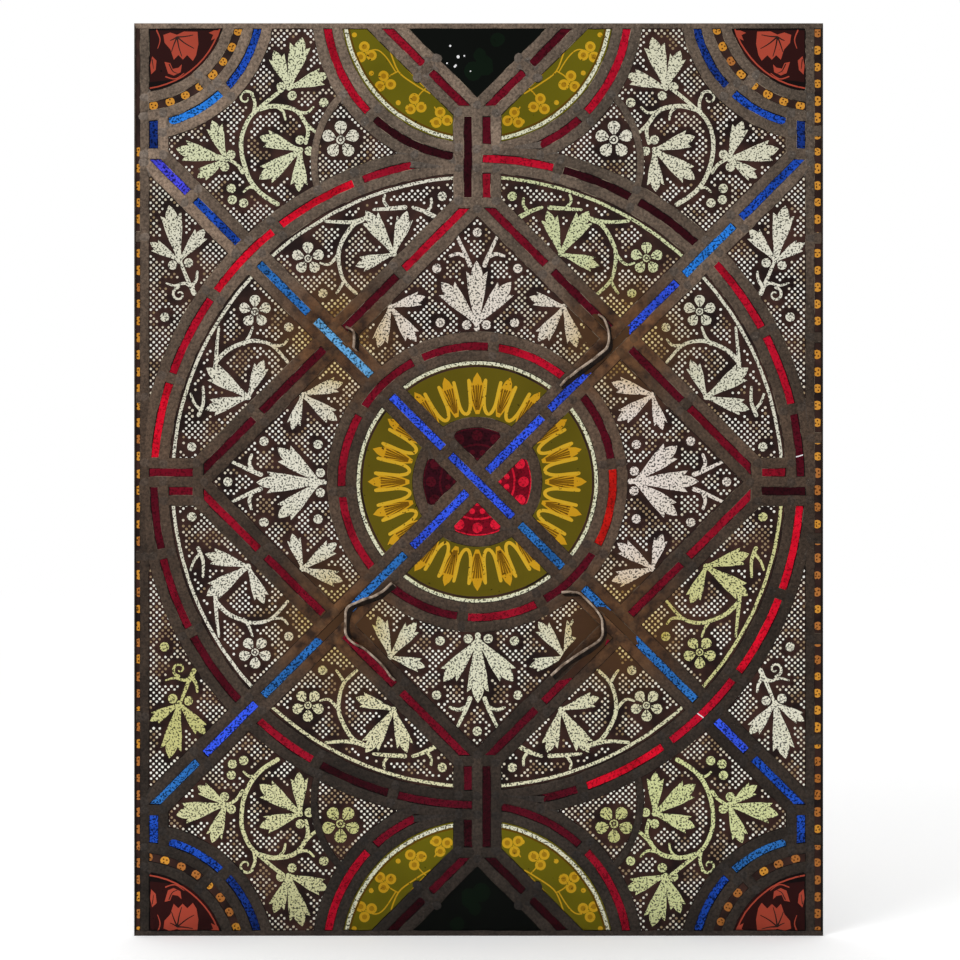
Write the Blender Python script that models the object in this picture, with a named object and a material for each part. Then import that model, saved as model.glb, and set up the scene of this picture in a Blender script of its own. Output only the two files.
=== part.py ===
"""A leaded stained glass window panel of painted grisaille, ruby, blue and gold glass.

The panel stands upright in metres, +Z up, its front towards -Y, and its origin is at the
middle of its bottom edge. The lead net is drawn first as a flat plan of came centrelines
round the pattern's own centre, with x to the right and z up. Half of the plan is drawn and
turned half a circle for the rest, because the window looks the same upside down. The plan is
then cut into triangles and stacked up in layers: a lead leaf in front, the thin hearts of
the cames between the panes of glass, and a lead leaf behind.
"""

import math

import bmesh
import bpy
from mathutils.geometry import delaunay_2d_cdt

PANEL_WIDTH = 0.610
LEFT_BORDER = 0.0090  # from the panel's left edge to the middle of the border came
RIGHT_BORDER = 0.0114
BAND = 0.0166  # between the two cames of a narrow band, middle to middle
MIDDLE_CIRCLE = 0.1339  # radius of the ruby bands of the top and bottom circles
CIRCLE_RISE = 0.0164  # their centres lie this far outside the pattern
INNER_RING = 0.1202
CENTRE_RING = 0.0528
STUB_INSIDE = 0.0329  # from the main ring's band in to the corner of the diamond
STUB_OUTSIDE = 0.0356  # from the main ring's band out to the point of the V band
CORNER_CIRCLE = 0.0841  # radius of the came round a corner disc
CORNER_RISE = 0.0205  # the corner circles' centres lie this far above the pattern
CORNER_SIDE = 0.0065  # and this far outside the border came
PATTERN_DROP = 0.0020  # the pattern sits this much below the panel's middle
THIN_FOOT = math.radians(28.6)  # where a thin came meets the main ring, from upright
THIN_HEAD = math.radians(57.0)  # where it meets the circle, from straight down
THIN_BELLY = 0.0120  # how far it bows out between

CAME_WIDTH = 0.0082
THIN_CAME_WIDTH = 0.0053
HEART = 0.0016
LEAF = 0.0010
GLASS = 0.0030
FIT = 0.0003  # gap left between glass and lead
RIM_WIDTH = 0.0044  # lead seen along the top and bottom edges
SIDE_RIM_WIDTH = 0.0016
RIM_WALL = 0.0012
SIDE_RIM_WALL = 0.0009
TAB = 0.0040  # width of a glass tab that joins two strips under the lead
TAB_REACH = 0.0032  # how far it reaches each way, still under the lead
TIE_THICKNESS = 0.0016
TIE_DEPTH = 0.0070

# Each tie's quarter of the panel, and its bends out and up from the crossing there.
TIES = (
    ("tie_upper_left", (-1, 1), ((-0.012, 0.009), (-0.019, 0.004), (-0.019, -0.010))),
    (
        "tie_upper_right",
        (1, 1),
        (
            (-0.019, 0.020),
            (-0.013, 0.015),
            (-0.010, 0.004),
            (-0.010, -0.007),
            (-0.017, -0.015),
            (-0.041, -0.033),
            (-0.053, -0.043),
        ),
    ),
    (
        "tie_lower_left",
        (-1, -1),
        (
            (-0.053, -0.036),
            (-0.040, -0.026),
            (-0.024, -0.020),
            (-0.013, -0.013),
            (-0.012, 0.008),
            (-0.019, 0.017),
            (-0.027, 0.021),
            (-0.043, 0.035),
            (-0.052, 0.047),
        ),
    ),
    (
        "tie_lower_right",
        (1, -1),
        (
            (-0.051, -0.028),
            (-0.042, -0.028),
            (-0.034, -0.026),
            (-0.018, -0.009),
            (-0.015, 0.002),
            (-0.016, 0.011),
            (-0.024, 0.019),
            (-0.046, 0.033),
            (-0.060, 0.046),
        ),
    ),
)

MAIN_STEP = math.radians(15)
ARC_STEP = math.radians(24)
SLIP = 0.004  # lines that run off the panel are drawn this far past its edge
WEDGE_GAP = 0.0060  # two cames closer than this have solder between them
MERGE = 1e-6

HALF_BAND = BAND / 2
MAIN_RING = (PANEL_WIDTH - LEFT_BORDER - RIGHT_BORDER) / 2 - HALF_BAND
RING_IN = MAIN_RING - HALF_BAND
RING_OUT = MAIN_RING + HALF_BAND
PATTERN_HALF = MAIN_RING + MIDDLE_CIRCLE - CIRCLE_RISE
INNER_IN = INNER_RING - HALF_BAND
INNER_OUT = INNER_RING + HALF_BAND
CIRCLE_CENTRE = (0.0, MAIN_RING + MIDDLE_CIRCLE)
CIRCLE_IN = MIDDLE_CIRCLE - HALF_BAND
CIRCLE_OUT = MIDDLE_CIRCLE + HALF_BAND
CORNER_RADII = (CORNER_CIRCLE, CORNER_CIRCLE + BAND, CORNER_CIRCLE + 2 * BAND)
SLANT = HALF_BAND * math.sqrt(2)  # half a band measured across a line at 45 degrees
POINT = MAIN_RING + STUB_OUTSIDE
STUB_TOP = POINT - SLANT + BAND
DIAMOND = (MAIN_RING - STUB_INSIDE) / math.sqrt(2)
DIAMOND_IN = DIAMOND - HALF_BAND
DIAMOND_OUT = DIAMOND + HALF_BAND
STUB_FOOT = DIAMOND_OUT * math.sqrt(2) - BAND
DEPTH = GLASS + 2 * FIT + 2 * LEAF
LEFT, RIGHT = -RING_OUT - LEFT_BORDER, RING_OUT + RIGHT_BORDER
TOP, BOTTOM = PATTERN_HALF + PATTERN_DROP, PATTERN_DROP - PATTERN_HALF
OFF_EDGE = PATTERN_HALF + PATTERN_DROP + SLIP

MIDDLE = (0.0, 0.0)
EAST, NORTH, WEST, SOUTH = (1.0, 0.0), (0.0, 1.0), (-1.0, 0.0), (0.0, -1.0)
DIAGONAL = math.sqrt(0.5)
NE, NW = (DIAGONAL, DIAGONAL), (-DIAGONAL, DIAGONAL)
SW, SE = (-DIAGONAL, -DIAGONAL), (DIAGONAL, -DIAGONAL)


def clear_scene():
    for thing in list(bpy.data.objects):
        bpy.data.objects.remove(thing, do_unlink=True)


def at(*steps):
    """The point reached by steps of (direction, distance) from the pattern's centre."""
    return (
        sum(direction[0] * distance for direction, distance in steps),
        sum(direction[1] * distance for direction, distance in steps),
    )


def circle_at(centre, radius, x=None, z=None, side=1):
    """The point of a circle at a given x or z, on the side that the sign names."""
    if x is not None:
        return x, centre[1] + side * math.sqrt(radius**2 - (x - centre[0]) ** 2)
    return centre[0] + side * math.sqrt(radius**2 - (z - centre[1]) ** 2), z


def beside(direction, across, radius, offset):
    """Where a line along direction, set off across it, meets a circle round the pattern's centre."""
    return at((direction, math.sqrt(radius**2 - offset**2)), (across, offset))


def two_circles(radius, centre, other, side):
    """Where a circle round the pattern's centre meets one round a centre above it."""
    reach = centre[1]
    rise = (reach**2 + radius**2 - other**2) / (2 * reach)
    return side * math.sqrt(radius**2 - rise**2), rise


class Came:
    """A strip of lead: points along its middle, and at each the way across it."""

    def __init__(self, points, across, width=CAME_WIDTH, heart=True):
        self.points = points
        self.across = across
        self.width = width
        self.heart = heart

    def turned(self):
        points = [(-x, -z) for x, z in self.points]
        across = [(-x, -z) for x, z in self.across]
        return Came(points, across, self.width, self.heart)

    def pieces(self, half_width):
        """The strip as four-sided pieces."""
        edges = [
            (
                (x + ax * half_width, z + az * half_width),
                (x - ax * half_width, z - az * half_width),
            )
            for (x, z), (ax, az) in zip(self.points, self.across)
        ]
        return [
            [near[0], far[0], far[1], near[1]] for near, far in zip(edges, edges[1:])
        ]


def straight(start, end, **finish):
    length = math.dist(start, end)
    along = ((end[0] - start[0]) / length, (end[1] - start[1]) / length)
    across = (-along[1], along[0])
    return Came([start, end], [across, across], **finish)


def bearing_of(centre, point):
    return math.atan2(point[1] - centre[1], point[0] - centre[0])


def bent(centre, radius, start, end, step=ARC_STEP, stops=(), **finish):
    """An arc about centre, the short way from start's bearing to end's, bent in flats.

    The flats straddle the true circle, but at its ends and at each stop, where another
    came butts against it, the middle of the came is on the circle.
    """
    first = bearing_of(centre, start)
    turns = [
        (bearing_of(centre, point) - first + math.pi) % (2 * math.pi) - math.pi
        for point in (*stops, end)
    ]
    turns = sorted([0.0, *turns], key=abs)
    points, across = [], []
    for turn, further in zip(turns, turns[1:] + [None]):
        count = 1
        if further is not None:
            count = max(1, math.ceil(abs(further - turn) / step))
            part = (further - turn) / count
        for index in range(count):
            bearing = first + turn + (part * index if index else 0.0)
            reach = radius * (2 / (1 + math.cos(part / 2)) if index else 1)
            way = (math.cos(bearing), math.sin(bearing))
            points.append((centre[0] + way[0] * reach, centre[1] + way[1] * reach))
            across.append(way)
    return Came(points, across, **finish)


def bowed(start, end, bow, **finish):
    """An arc from start to end that stands off their straight line by bow, to the left of it."""
    chord = math.dist(start, end)
    radius = (chord**2 / 4 + bow**2) / (2 * bow)
    along = ((end[0] - start[0]) / chord, (end[1] - start[1]) / chord)
    left = (-along[1], along[0])
    middle = ((start[0] + end[0]) / 2, (start[1] + end[1]) / 2)
    centre = (
        middle[0] + left[0] * (bow - radius),
        middle[1] + left[1] * (bow - radius),
    )
    return bent(centre, radius, start, end, **finish)


def ring_cames():
    crossing = two_circles(RING_OUT, CIRCLE_CENTRE, CIRCLE_OUT, -1)
    for radius in (RING_IN, RING_OUT):
        start = crossing
        if radius == RING_IN:
            start = circle_at(MIDDLE, radius, x=-BAND)
        west = circle_at(MIDDLE, radius, z=BAND, side=-1)
        crossed = [beside(NW, way, radius, HALF_BAND) for way in (NE, SW)]
        feet = [thin_foot(-1)] if radius == RING_OUT else []
        yield bent(MIDDLE, radius, start, west, MAIN_STEP, [*crossed, *feet])
        stub = circle_at(MIDDLE, radius, x=BAND)
        feet = [thin_foot(1)] if radius == RING_OUT else []
        arm = beside(NE, NW, radius, HALF_BAND)
        yield bent(MIDDLE, radius, (0, radius), arm, MAIN_STEP, [stub, *feet])
        stub = circle_at(MIDDLE, radius, z=BAND)
        arm = beside(NE, SE, radius, HALF_BAND)
        yield bent(MIDDLE, radius, arm, (radius, 0), MAIN_STEP, [stub])
    for radius in (INNER_IN, INNER_OUT):
        start = beside(NE, NW, radius, HALF_BAND)
        crossed = [beside(NW, way, radius, HALF_BAND) for way in (NE, SW)]
        end = beside(SW, NW, radius, HALF_BAND)
        yield bent(MIDDLE, radius, start, end, stops=crossed)
    for first, second in ((NE, NW), (NW, SW)):
        start = beside(first, second, CENTRE_RING, HALF_BAND)
        end = beside(second, first, CENTRE_RING, HALF_BAND)
        yield bent(MIDDLE, CENTRE_RING, start, end)


def diagonal_cames():
    upright = RING_OUT - BAND
    yield straight(
        beside(NW, NE, INNER_IN, HALF_BAND), beside(SE, NE, INNER_IN, HALF_BAND)
    )
    for arm in (NE, NW):
        above, below = (NW, SE) if arm == NE else (NE, SW)
        for across, edge, lean in ((above, upright, 1), (below, RING_OUT, -1)):
            end = at((arm, edge * math.sqrt(2) + lean * HALF_BAND), (across, HALF_BAND))
            if arm == NE:
                yield straight(at((arm, HALF_BAND), (across, HALF_BAND)), end)
                continue
            yield straight(
                beside(arm, across, INNER_OUT, HALF_BAND),
                beside(arm, across, RING_IN, HALF_BAND),
            )
            yield straight(beside(arm, across, RING_OUT, HALF_BAND), end)


def diamond_cames():
    outer = DIAMOND_OUT - BAND * math.sqrt(2)
    for side in (NW, NE):
        ways = (NE, SW) if side == NW else (NW, SE)
        for way in ways:
            for offset, end in ((DIAMOND_OUT, outer), (DIAMOND_IN, DIAMOND_IN)):
                yield straight(
                    at((side, offset), (way, HALF_BAND)), at((side, offset), (way, end))
                )


def stub_cames():
    inner_corner = DIAMOND_IN * math.sqrt(2)
    yield straight((-BAND, STUB_TOP), (-BAND, STUB_FOOT))
    yield straight((0, POINT + SLANT), (0, inner_corner))
    yield straight((BAND, STUB_TOP), circle_at(MIDDLE, RING_OUT, x=BAND))
    yield straight(circle_at(MIDDLE, RING_IN, x=BAND), (BAND, STUB_FOOT))
    yield straight((-RING_OUT, BAND), (-STUB_FOOT, BAND))
    yield straight((-RING_OUT, 0), (-inner_corner, 0))
    yield straight(
        circle_at(MIDDLE, RING_IN, z=-BAND, side=-1), (-STUB_FOOT, -BAND)
    )


def circle_cames():
    for side in (-1, 1):
        for radius in (CIRCLE_IN, CIRCLE_OUT):
            start = circle_at(CIRCLE_CENTRE, radius, x=side * BAND, side=-1)
            if radius == CIRCLE_OUT and side == 1:
                start = two_circles(RING_OUT, CIRCLE_CENTRE, CIRCLE_OUT, 1)
            end = circle_at(CIRCLE_CENTRE, radius, z=OFF_EDGE, side=side)
            heads = [thin_head(side)] if radius == CIRCLE_OUT else []
            yield bent(CIRCLE_CENTRE, radius, start, end, stops=heads)
        rise = OFF_EDGE - POINT
        yield straight((side * BAND, STUB_TOP), (side * (rise + SLANT), OFF_EDGE))
        yield straight((0, POINT + SLANT), (side * (rise - SLANT), OFF_EDGE))


def corner_cames():
    for side in (-1, 1):
        centre = (side * (RING_OUT + CORNER_SIDE), PATTERN_HALF + CORNER_RISE)
        upright = side * (RING_OUT - BAND)
        head = circle_at(centre, CORNER_RADII[1], x=upright, side=-1)
        for radius in CORNER_RADII:
            start = circle_at(centre, radius, z=OFF_EDGE, side=-side)
            end = upright if radius == CORNER_RADII[2] else side * RING_OUT
            end = circle_at(centre, radius, x=end, side=-1)
            stops = [head] if radius == CORNER_RADII[1] else []
            yield bent(centre, radius, start, end, stops=stops)
        foot = (upright, RING_OUT - BAND + SLANT)
        yield straight(foot, head)


def thin_foot(side):
    x = side * RING_OUT * math.sin(THIN_FOOT)
    return x, RING_OUT * math.cos(THIN_FOOT)


def thin_head(side):
    x = side * CIRCLE_OUT * math.sin(THIN_HEAD)
    return x, CIRCLE_CENTRE[1] - CIRCLE_OUT * math.cos(THIN_HEAD)


def thin_cames():
    for side in (-1, 1):
        ends = [thin_foot(side), thin_head(side)][::-side]
        yield bowed(*ends, THIN_BELLY, width=THIN_CAME_WIDTH, step=2 * ARC_STEP)


def border_came():
    yield straight((-RING_OUT, -OFF_EDGE), (-RING_OUT, OFF_EDGE))


def all_cames():
    half = []
    for group in (
        ring_cames,
        diagonal_cames,
        diamond_cames,
        stub_cames,
        circle_cames,
        corner_cames,
        thin_cames,
        border_came,
    ):
        half.extend(group())
    return half + [came.turned() for came in half]


def turned_round(shape):
    return [(-x, -z) for x, z in shape]


def solder_wedges():
    """Between two cames that run together the channel is full of solder, not glass."""
    near = BAND
    shares = (0.5, 1.0)
    ring_circle = math.sqrt(2 * WEDGE_GAP / (1 / RING_IN + 1 / CIRCLE_OUT))
    circle_ring = math.sqrt(2 * WEDGE_GAP / (1 / RING_OUT + 1 / CIRCLE_IN))
    border = math.sqrt(2 * WEDGE_GAP * RING_OUT)
    half = [
        [
            circle_at(MIDDLE, RING_IN, x=-near),
            circle_at(CIRCLE_CENTRE, CIRCLE_OUT, x=-near, side=-1),
            circle_at(CIRCLE_CENTRE, CIRCLE_OUT, x=-ring_circle, side=-1),
            circle_at(MIDDLE, RING_IN, x=-ring_circle),
        ],
        [
            circle_at(MIDDLE, RING_OUT, x=near),
            circle_at(CIRCLE_CENTRE, CIRCLE_IN, x=near, side=-1),
            circle_at(CIRCLE_CENTRE, CIRCLE_IN, x=circle_ring, side=-1),
            circle_at(MIDDLE, RING_OUT, x=circle_ring),
        ],
    ]
    for side in (-1, 1):
        ring = [
            circle_at(MIDDLE, RING_OUT, z=side * border * share, side=-1)
            for share in shares
        ]
        half.append([(-RING_OUT, 0.0), *ring, (-RING_OUT, side * border)])
    return half + [turned_round(shape) for shape in half]


def tab(point, direction, width):
    """A short bar across a heart at point, as wide as width."""
    across = (-direction[1], direction[0])
    corners = ((1, 1), (-1, 1), (-1, -1), (1, -1))
    return [
        (
            point[0] + direction[0] * TAB_REACH * a + across[0] * width / 2 * b,
            point[1] + direction[1] * TAB_REACH * a + across[1] * width / 2 * b,
        )
        for a, b in corners
    ]


def tabs(width):
    """Where neighbouring strips of one colour are joined under the lead."""
    lower = (RING_IN + STUB_FOOT) / 2
    upper = (RING_OUT + STUB_TOP) / 2
    taper = two_circles(RING_OUT, CIRCLE_CENTRE, CIRCLE_OUT, 1)[0] - TAB
    places = [
        ((0, lower), EAST),
        ((0, MAIN_RING), EAST),
        ((0, upper), EAST),
        ((-BAND, MAIN_RING), EAST),
        (circle_at(MIDDLE, RING_OUT, x=taper), NORTH),
        (circle_at(CIRCLE_CENTRE, CIRCLE_OUT, x=-taper, side=-1), NORTH),
        ((-MAIN_RING, BAND), NORTH),
        ((-MAIN_RING, 0), NORTH),
        ((-lower, 0), NORTH),
        (at((NE, HALF_BAND)), NE),
    ]
    for side in (-1, 1):
        centre = (side * (RING_OUT + CORNER_SIDE), PATTERN_HALF + CORNER_RISE)
        blue = CORNER_CIRCLE + 1.5 * BAND
        bead = CORNER_CIRCLE + HALF_BAND
        places.append(
            (circle_at(centre, blue, x=side * (RING_OUT - BAND), side=-1), EAST)
        )
        places.append((circle_at(centre, bead, x=side * RING_OUT, side=-1), EAST))
    half = [tab(point, direction, width) for point, direction in places]
    return half + [turned_round(shape) for shape in half]


def rectangle(left, bottom, right, top):
    return [(left, bottom), (right, bottom), (right, top), (left, top)]


def rim(side, end):
    """The four strips along the panel's edges, as deep as side and end say."""
    return [
        rectangle(LEFT, BOTTOM, LEFT + side, TOP),
        rectangle(RIGHT - side, BOTTOM, RIGHT, TOP),
        rectangle(LEFT, BOTTOM, RIGHT, BOTTOM + end),
        rectangle(LEFT, TOP - end, RIGHT, TOP),
    ]


def area(shape):
    return 0.5 * sum(
        a[0] * b[1] - b[0] * a[1] for a, b in zip(shape, shape[1:] + shape[:1])
    )


class Plan:
    """The plan cut into triangles, each with the kinds of shape that cover it."""

    def __init__(self, shapes):
        points, faces, kinds = [], [], []
        for kind, outlines in shapes.items():
            for outline in outlines:
                if area(outline) < 0:
                    outline = outline[::-1]
                faces.append(list(range(len(points), len(points) + len(outline))))
                points.extend(outline)
                kinds.append(kind)
        found = delaunay_2d_cdt(points, [], faces, 1, MERGE, True)
        self.points = [tuple(point) for point in found[0]]
        self.triangles = []
        self.cover = []
        for triangle, sources in zip(found[2], found[5]):
            corners = [self.points[index] for index in triangle]
            self.triangles.append(
                tuple(triangle if area(corners) > 0 else triangle[::-1])
            )
            self.cover.append({kinds[source] for source in sources})

    def choose(self, test):
        return {i for i, cover in enumerate(self.cover) if test(cover)}

    def edges(self, index):
        a, b, c = self.triangles[index]
        return (a, b), (b, c), (c, a)

    def islands(self, chosen):
        """The chosen triangles in groups that hang together by their edges."""
        owner = {edge: index for index in chosen for edge in self.edges(index)}
        left = set(chosen)
        while left:
            group, fresh = set(), [left.pop()]
            while fresh:
                index = fresh.pop()
                group.add(index)
                for a, b in self.edges(index):
                    other = owner.get((b, a))
                    if other in left:
                        left.remove(other)
                        fresh.append(other)
            yield group

    def holds(self, index, point):
        corners = [self.points[corner] for corner in self.triangles[index]]
        return all(
            area([point, first, second]) >= 0
            for first, second in zip(corners, corners[1:] + corners[:1])
        )


def stack(name, plan, layers, material):
    """An object of flat layers, each given as (front, back, chosen triangles)."""
    built = bmesh.new()
    made = {}
    shift_x, shift_z = -(LEFT + RIGHT) / 2, -BOTTOM

    def corner(index, depth):
        if (index, depth) not in made:
            x, z = plan.points[index]
            made[index, depth] = built.verts.new((x + shift_x, depth, z + shift_z))
        return made[index, depth]

    before = set()
    for front, back, chosen in layers + [(layers[-1][1], None, set())]:
        for index in chosen - before:
            built.faces.new([corner(i, front) for i in plan.triangles[index]])
        for index in before - chosen:
            built.faces.new([corner(i, front) for i in plan.triangles[index][::-1]])
        sides = {edge for index in chosen for edge in plan.edges(index)}
        for a, b in sorted(sides):
            if (b, a) not in sides:
                ring = (a, front), (a, back), (b, back), (b, front)
                built.faces.new([corner(*place) for place in ring])
        before = chosen
    mesh = bpy.data.meshes.new(name)
    built.to_mesh(mesh)
    built.free()
    mesh.materials.append(material)
    thing = bpy.data.objects.new(name, mesh)
    bpy.context.scene.collection.objects.link(thing)


def material(name, colour, roughness, metallic=0.0, transmission=0.0):
    made = bpy.data.materials.new(name)
    made.use_nodes = True
    shader = made.node_tree.nodes["Principled BSDF"]
    shader.inputs["Base Color"].default_value = (*colour, 1.0)
    shader.inputs["Roughness"].default_value = roughness
    shader.inputs["Metallic"].default_value = metallic
    shader.inputs["Transmission Weight"].default_value = transmission
    return made


def make_lead_net(cames, lead):
    half_heart = HEART / 2
    plan = Plan(
        {
            "panel": [rectangle(LEFT, BOTTOM, RIGHT, TOP)],
            "leaf": [piece for came in cames for piece in came.pieces(came.width / 2)]
            + rim(SIDE_RIM_WIDTH, RIM_WIDTH),
            "heart": [
                piece
                for came in cames
                if came.heart
                for piece in came.pieces(half_heart)
            ]
            + solder_wedges(),
            "wall": rim(SIDE_RIM_WALL, RIM_WALL),
            "tab": tabs(TAB + 2 * FIT),
        }
    )
    leaf = plan.choose(lambda cover: "panel" in cover and "leaf" in cover)
    heart = plan.choose(
        lambda cover: "panel" in cover
        and ("wall" in cover or "heart" in cover and "tab" not in cover)
    )
    for pocket in plan.islands(plan.choose(lambda cover: "panel" in cover) - heart):
        if pocket <= leaf:  # no glass shows there, so it is full of solder
            heart |= pocket
    leaf |= heart
    half_channel = GLASS / 2 + FIT
    half_depth = DEPTH / 2
    layers = [
        (-half_depth, -half_channel, leaf),
        (-half_channel, half_channel, heart),
        (half_channel, half_depth, leaf),
    ]
    stack("lead_cames", plan, layers, lead)


def glass_names():
    """Each pane's name, its kind of glass and a point inside it."""
    sides = (("top", NORTH), ("right", EAST), ("bottom", SOUTH), ("left", WEST))
    grisaille = (INNER_OUT + DIAMOND_IN * math.sqrt(2)) / 2
    for word, way in sides:
        yield f"ruby_sector_{word}", "ruby", at((way, (HALF_BAND + CENTRE_RING) / 2))
        yield f"gold_sector_{word}", "gold", at((way, (CENTRE_RING + INNER_IN) / 2))
        yield f"grisaille_{word}", "grisaille", at((way, grisaille))
    eighth = math.pi / 8
    middle = (DIAMOND_OUT / math.cos(eighth) + RING_IN) / 2
    long_way, short_way = middle * math.cos(eighth), middle * math.sin(eighth)
    for across, x in (("left", -1), ("right", 1)):
        for level, z in (("top", 1), ("bottom", -1)):
            place = f"{level}_{across}"
            upper = (x * short_way, z * long_way)
            lower = (x * long_way, z * short_way)
            yield f"segment_{place}_end", "grisaille", upper
            yield f"segment_{place}_side", "grisaille", lower
            corner = (RING_OUT + CORNER_SIDE, PATTERN_HALF + CORNER_RISE)
            disc = CORNER_CIRCLE / 2
            leaves = (CORNER_RADII[2] + 2 * BAND) * DIAGONAL
            yield (
                f"corner_disc_{place}",
                "rust",
                (x * (corner[0] - disc), z * (corner[1] - disc)),
            )
            yield (
                f"corner_grisaille_{place}",
                "grisaille",
                (x * (corner[0] - leaves), z * (corner[1] - leaves)),
            )
            rosette = (CIRCLE_OUT + 2 * BAND) * DIAGONAL
            yield (
                f"rosette_triangle_{place}",
                "grisaille",
                (x * rosette, z * (CIRCLE_CENTRE[1] - rosette)),
            )
            yield (
                f"side_triangle_{place}",
                "grisaille",
                (x * (RING_OUT - BAND), z * (RING_OUT - 4 * BAND)),
            )
            lens = (CIRCLE_IN + (CIRCLE_CENTRE[1] - POINT + SLANT) * DIAGONAL) / 2
            yield (
                f"lens_pane_{place}",
                "olive",
                (x * lens * DIAGONAL, z * (CIRCLE_CENTRE[1] - lens * DIAGONAL)),
            )
    for level, z in (("top", 1), ("bottom", -1)):
        yield (
            f"green_triangle_{level}",
            "green",
            (0.0, z * (POINT + SLANT + PATTERN_HALF) / 2),
        )
    yield "blue_cross_bands", "blue", (0.0, 0.0)
    for word, arm in (("upper_left", NW), ("lower_right", SE)):
        yield f"blue_arm_{word}", "blue", at((arm, (INNER_OUT + DIAMOND_IN) / 2))
        yield f"blue_corner_{word}", "blue", at((arm, RING_OUT + BAND))
        yield f"ruby_bands_{word}", "ruby", at((arm, MAIN_RING))
        yield f"inner_ruby_{word}", "ruby", at((arm, INNER_RING))
    side_edge = (SIDE_RIM_WALL + HEART / 2) / 2
    yield "bead_strips_left", "bead", ((LEFT - RING_OUT) / 2 + side_edge, 0.0)
    yield "bead_strips_right", "bead", ((RIGHT + RING_OUT) / 2 - side_edge, 0.0)


def make_glass(cames, finishes):
    plan = Plan(
        {
            "panel": [rectangle(LEFT, BOTTOM, RIGHT, TOP)],
            "heart": [
                piece
                for came in cames
                if came.heart
                for piece in came.pieces(HEART / 2 + FIT)
            ]
            + solder_wedges(),
            "wall": rim(SIDE_RIM_WALL + FIT, RIM_WALL + FIT),
            "tab": tabs(TAB),
        }
    )
    clear = plan.choose(
        lambda cover: "panel" in cover
        and "wall" not in cover
        and ("heart" not in cover or "tab" in cover)
    )
    panes = list(plan.islands(clear))
    for name, kind, point in glass_names():
        for pane in panes:
            if any(plan.holds(index, point) for index in pane):
                layers = [(-GLASS / 2, GLASS / 2, pane)]
                stack(name, plan, layers, finishes[kind])
                break


def ribbon_along(points, thickness):
    """The outline of a thin strip that follows the points, one side out and the other back."""
    sides = ([], [])
    for index, point in enumerate(points):
        before = points[max(index - 1, 0)]
        after = points[min(index + 1, len(points) - 1)]
        length = math.dist(before, after)
        across = ((before[1] - after[1]) / length, (after[0] - before[0]) / length)
        for side, sign in zip(sides, (1, -1)):
            reach = sign * thickness / 2
            side.append((point[0] + across[0] * reach, point[1] + across[1] * reach))
    return sides[0] + sides[1][::-1]


def make_ties(lead):
    """Bent strips soldered on edge across the crossings of diamond and diagonals."""
    crossing = DIAMOND * DIAGONAL
    for name, (side_x, side_z), bends in TIES:
        points = [
            (side_x * (crossing + out), side_z * (crossing + up)) for out, up in bends
        ]
        outline = ribbon_along(points, TIE_THICKNESS)
        plan = Plan({"tie": [outline]})
        everything = plan.choose(lambda cover: "tie" in cover)
        front, back = -DEPTH / 2 - TIE_DEPTH, -DEPTH / 2
        stack(name, plan, [(front, back, everything)], lead)


def main():
    clear_scene()
    cames = all_cames()
    make_lead_net(cames, material("lead", (0.14, 0.12, 0.10), 0.6, metallic=0.4))
    make_ties(material("dark lead strip", (0.06, 0.05, 0.045), 0.6, metallic=0.4))
    finishes = {
        "ruby": material("ruby glass", (0.45, 0.01, 0.03), 0.1, transmission=0.8),
        "gold": material("gold glass", (0.55, 0.35, 0.04), 0.15, transmission=0.6),
        "grisaille": material("grisaille glass", (0.45, 0.45, 0.36), 0.3),
        "rust": material("rust red glass", (0.35, 0.06, 0.03), 0.2),
        "olive": material("olive glass", (0.25, 0.22, 0.02), 0.15, transmission=0.6),
        "green": material("dark green glass", (0.01, 0.02, 0.01), 0.1),
        "blue": material("blue glass", (0.05, 0.14, 0.65), 0.1, transmission=0.8),
        "bead": material("painted bead strip", (0.35, 0.18, 0.04), 0.3),
    }
    make_glass(cames, finishes)


main()
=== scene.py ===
# %% [markdown]
# # A leaded stained glass panel
# The real panel is made on a bench. A glazier lays pieces of glass on a full-size drawing, the
# cartoon, bends soft lead strips called cames round them, and solders every joint. This lesson
# works the same way. It draws the cartoon once, as lines, and both the lead and the glass are
# made from those lines, so they can never drift apart.

import math

import bpy
import numpy as np
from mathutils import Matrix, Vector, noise
from mathutils.geometry import delaunay_2d_cdt


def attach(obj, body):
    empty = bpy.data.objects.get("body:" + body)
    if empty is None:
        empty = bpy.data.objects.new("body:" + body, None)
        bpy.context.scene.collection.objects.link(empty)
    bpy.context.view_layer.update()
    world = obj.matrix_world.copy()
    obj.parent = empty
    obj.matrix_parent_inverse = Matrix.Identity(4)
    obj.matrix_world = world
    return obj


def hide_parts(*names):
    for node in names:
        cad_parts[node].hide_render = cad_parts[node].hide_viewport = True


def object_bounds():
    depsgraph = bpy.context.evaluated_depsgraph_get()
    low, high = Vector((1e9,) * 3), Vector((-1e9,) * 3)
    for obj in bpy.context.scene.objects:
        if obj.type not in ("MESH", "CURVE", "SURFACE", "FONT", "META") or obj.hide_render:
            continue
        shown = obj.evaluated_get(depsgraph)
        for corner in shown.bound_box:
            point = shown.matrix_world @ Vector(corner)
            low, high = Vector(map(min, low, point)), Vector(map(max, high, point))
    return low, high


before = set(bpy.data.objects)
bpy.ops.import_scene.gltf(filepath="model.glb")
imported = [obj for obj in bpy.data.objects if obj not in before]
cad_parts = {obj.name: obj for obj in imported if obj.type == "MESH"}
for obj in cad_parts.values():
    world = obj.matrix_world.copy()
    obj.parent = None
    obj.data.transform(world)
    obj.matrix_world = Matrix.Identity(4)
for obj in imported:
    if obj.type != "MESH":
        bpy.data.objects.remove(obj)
cad_low, cad_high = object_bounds()
MM = 0.001
print("frame:", len(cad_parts), "nodes")

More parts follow.
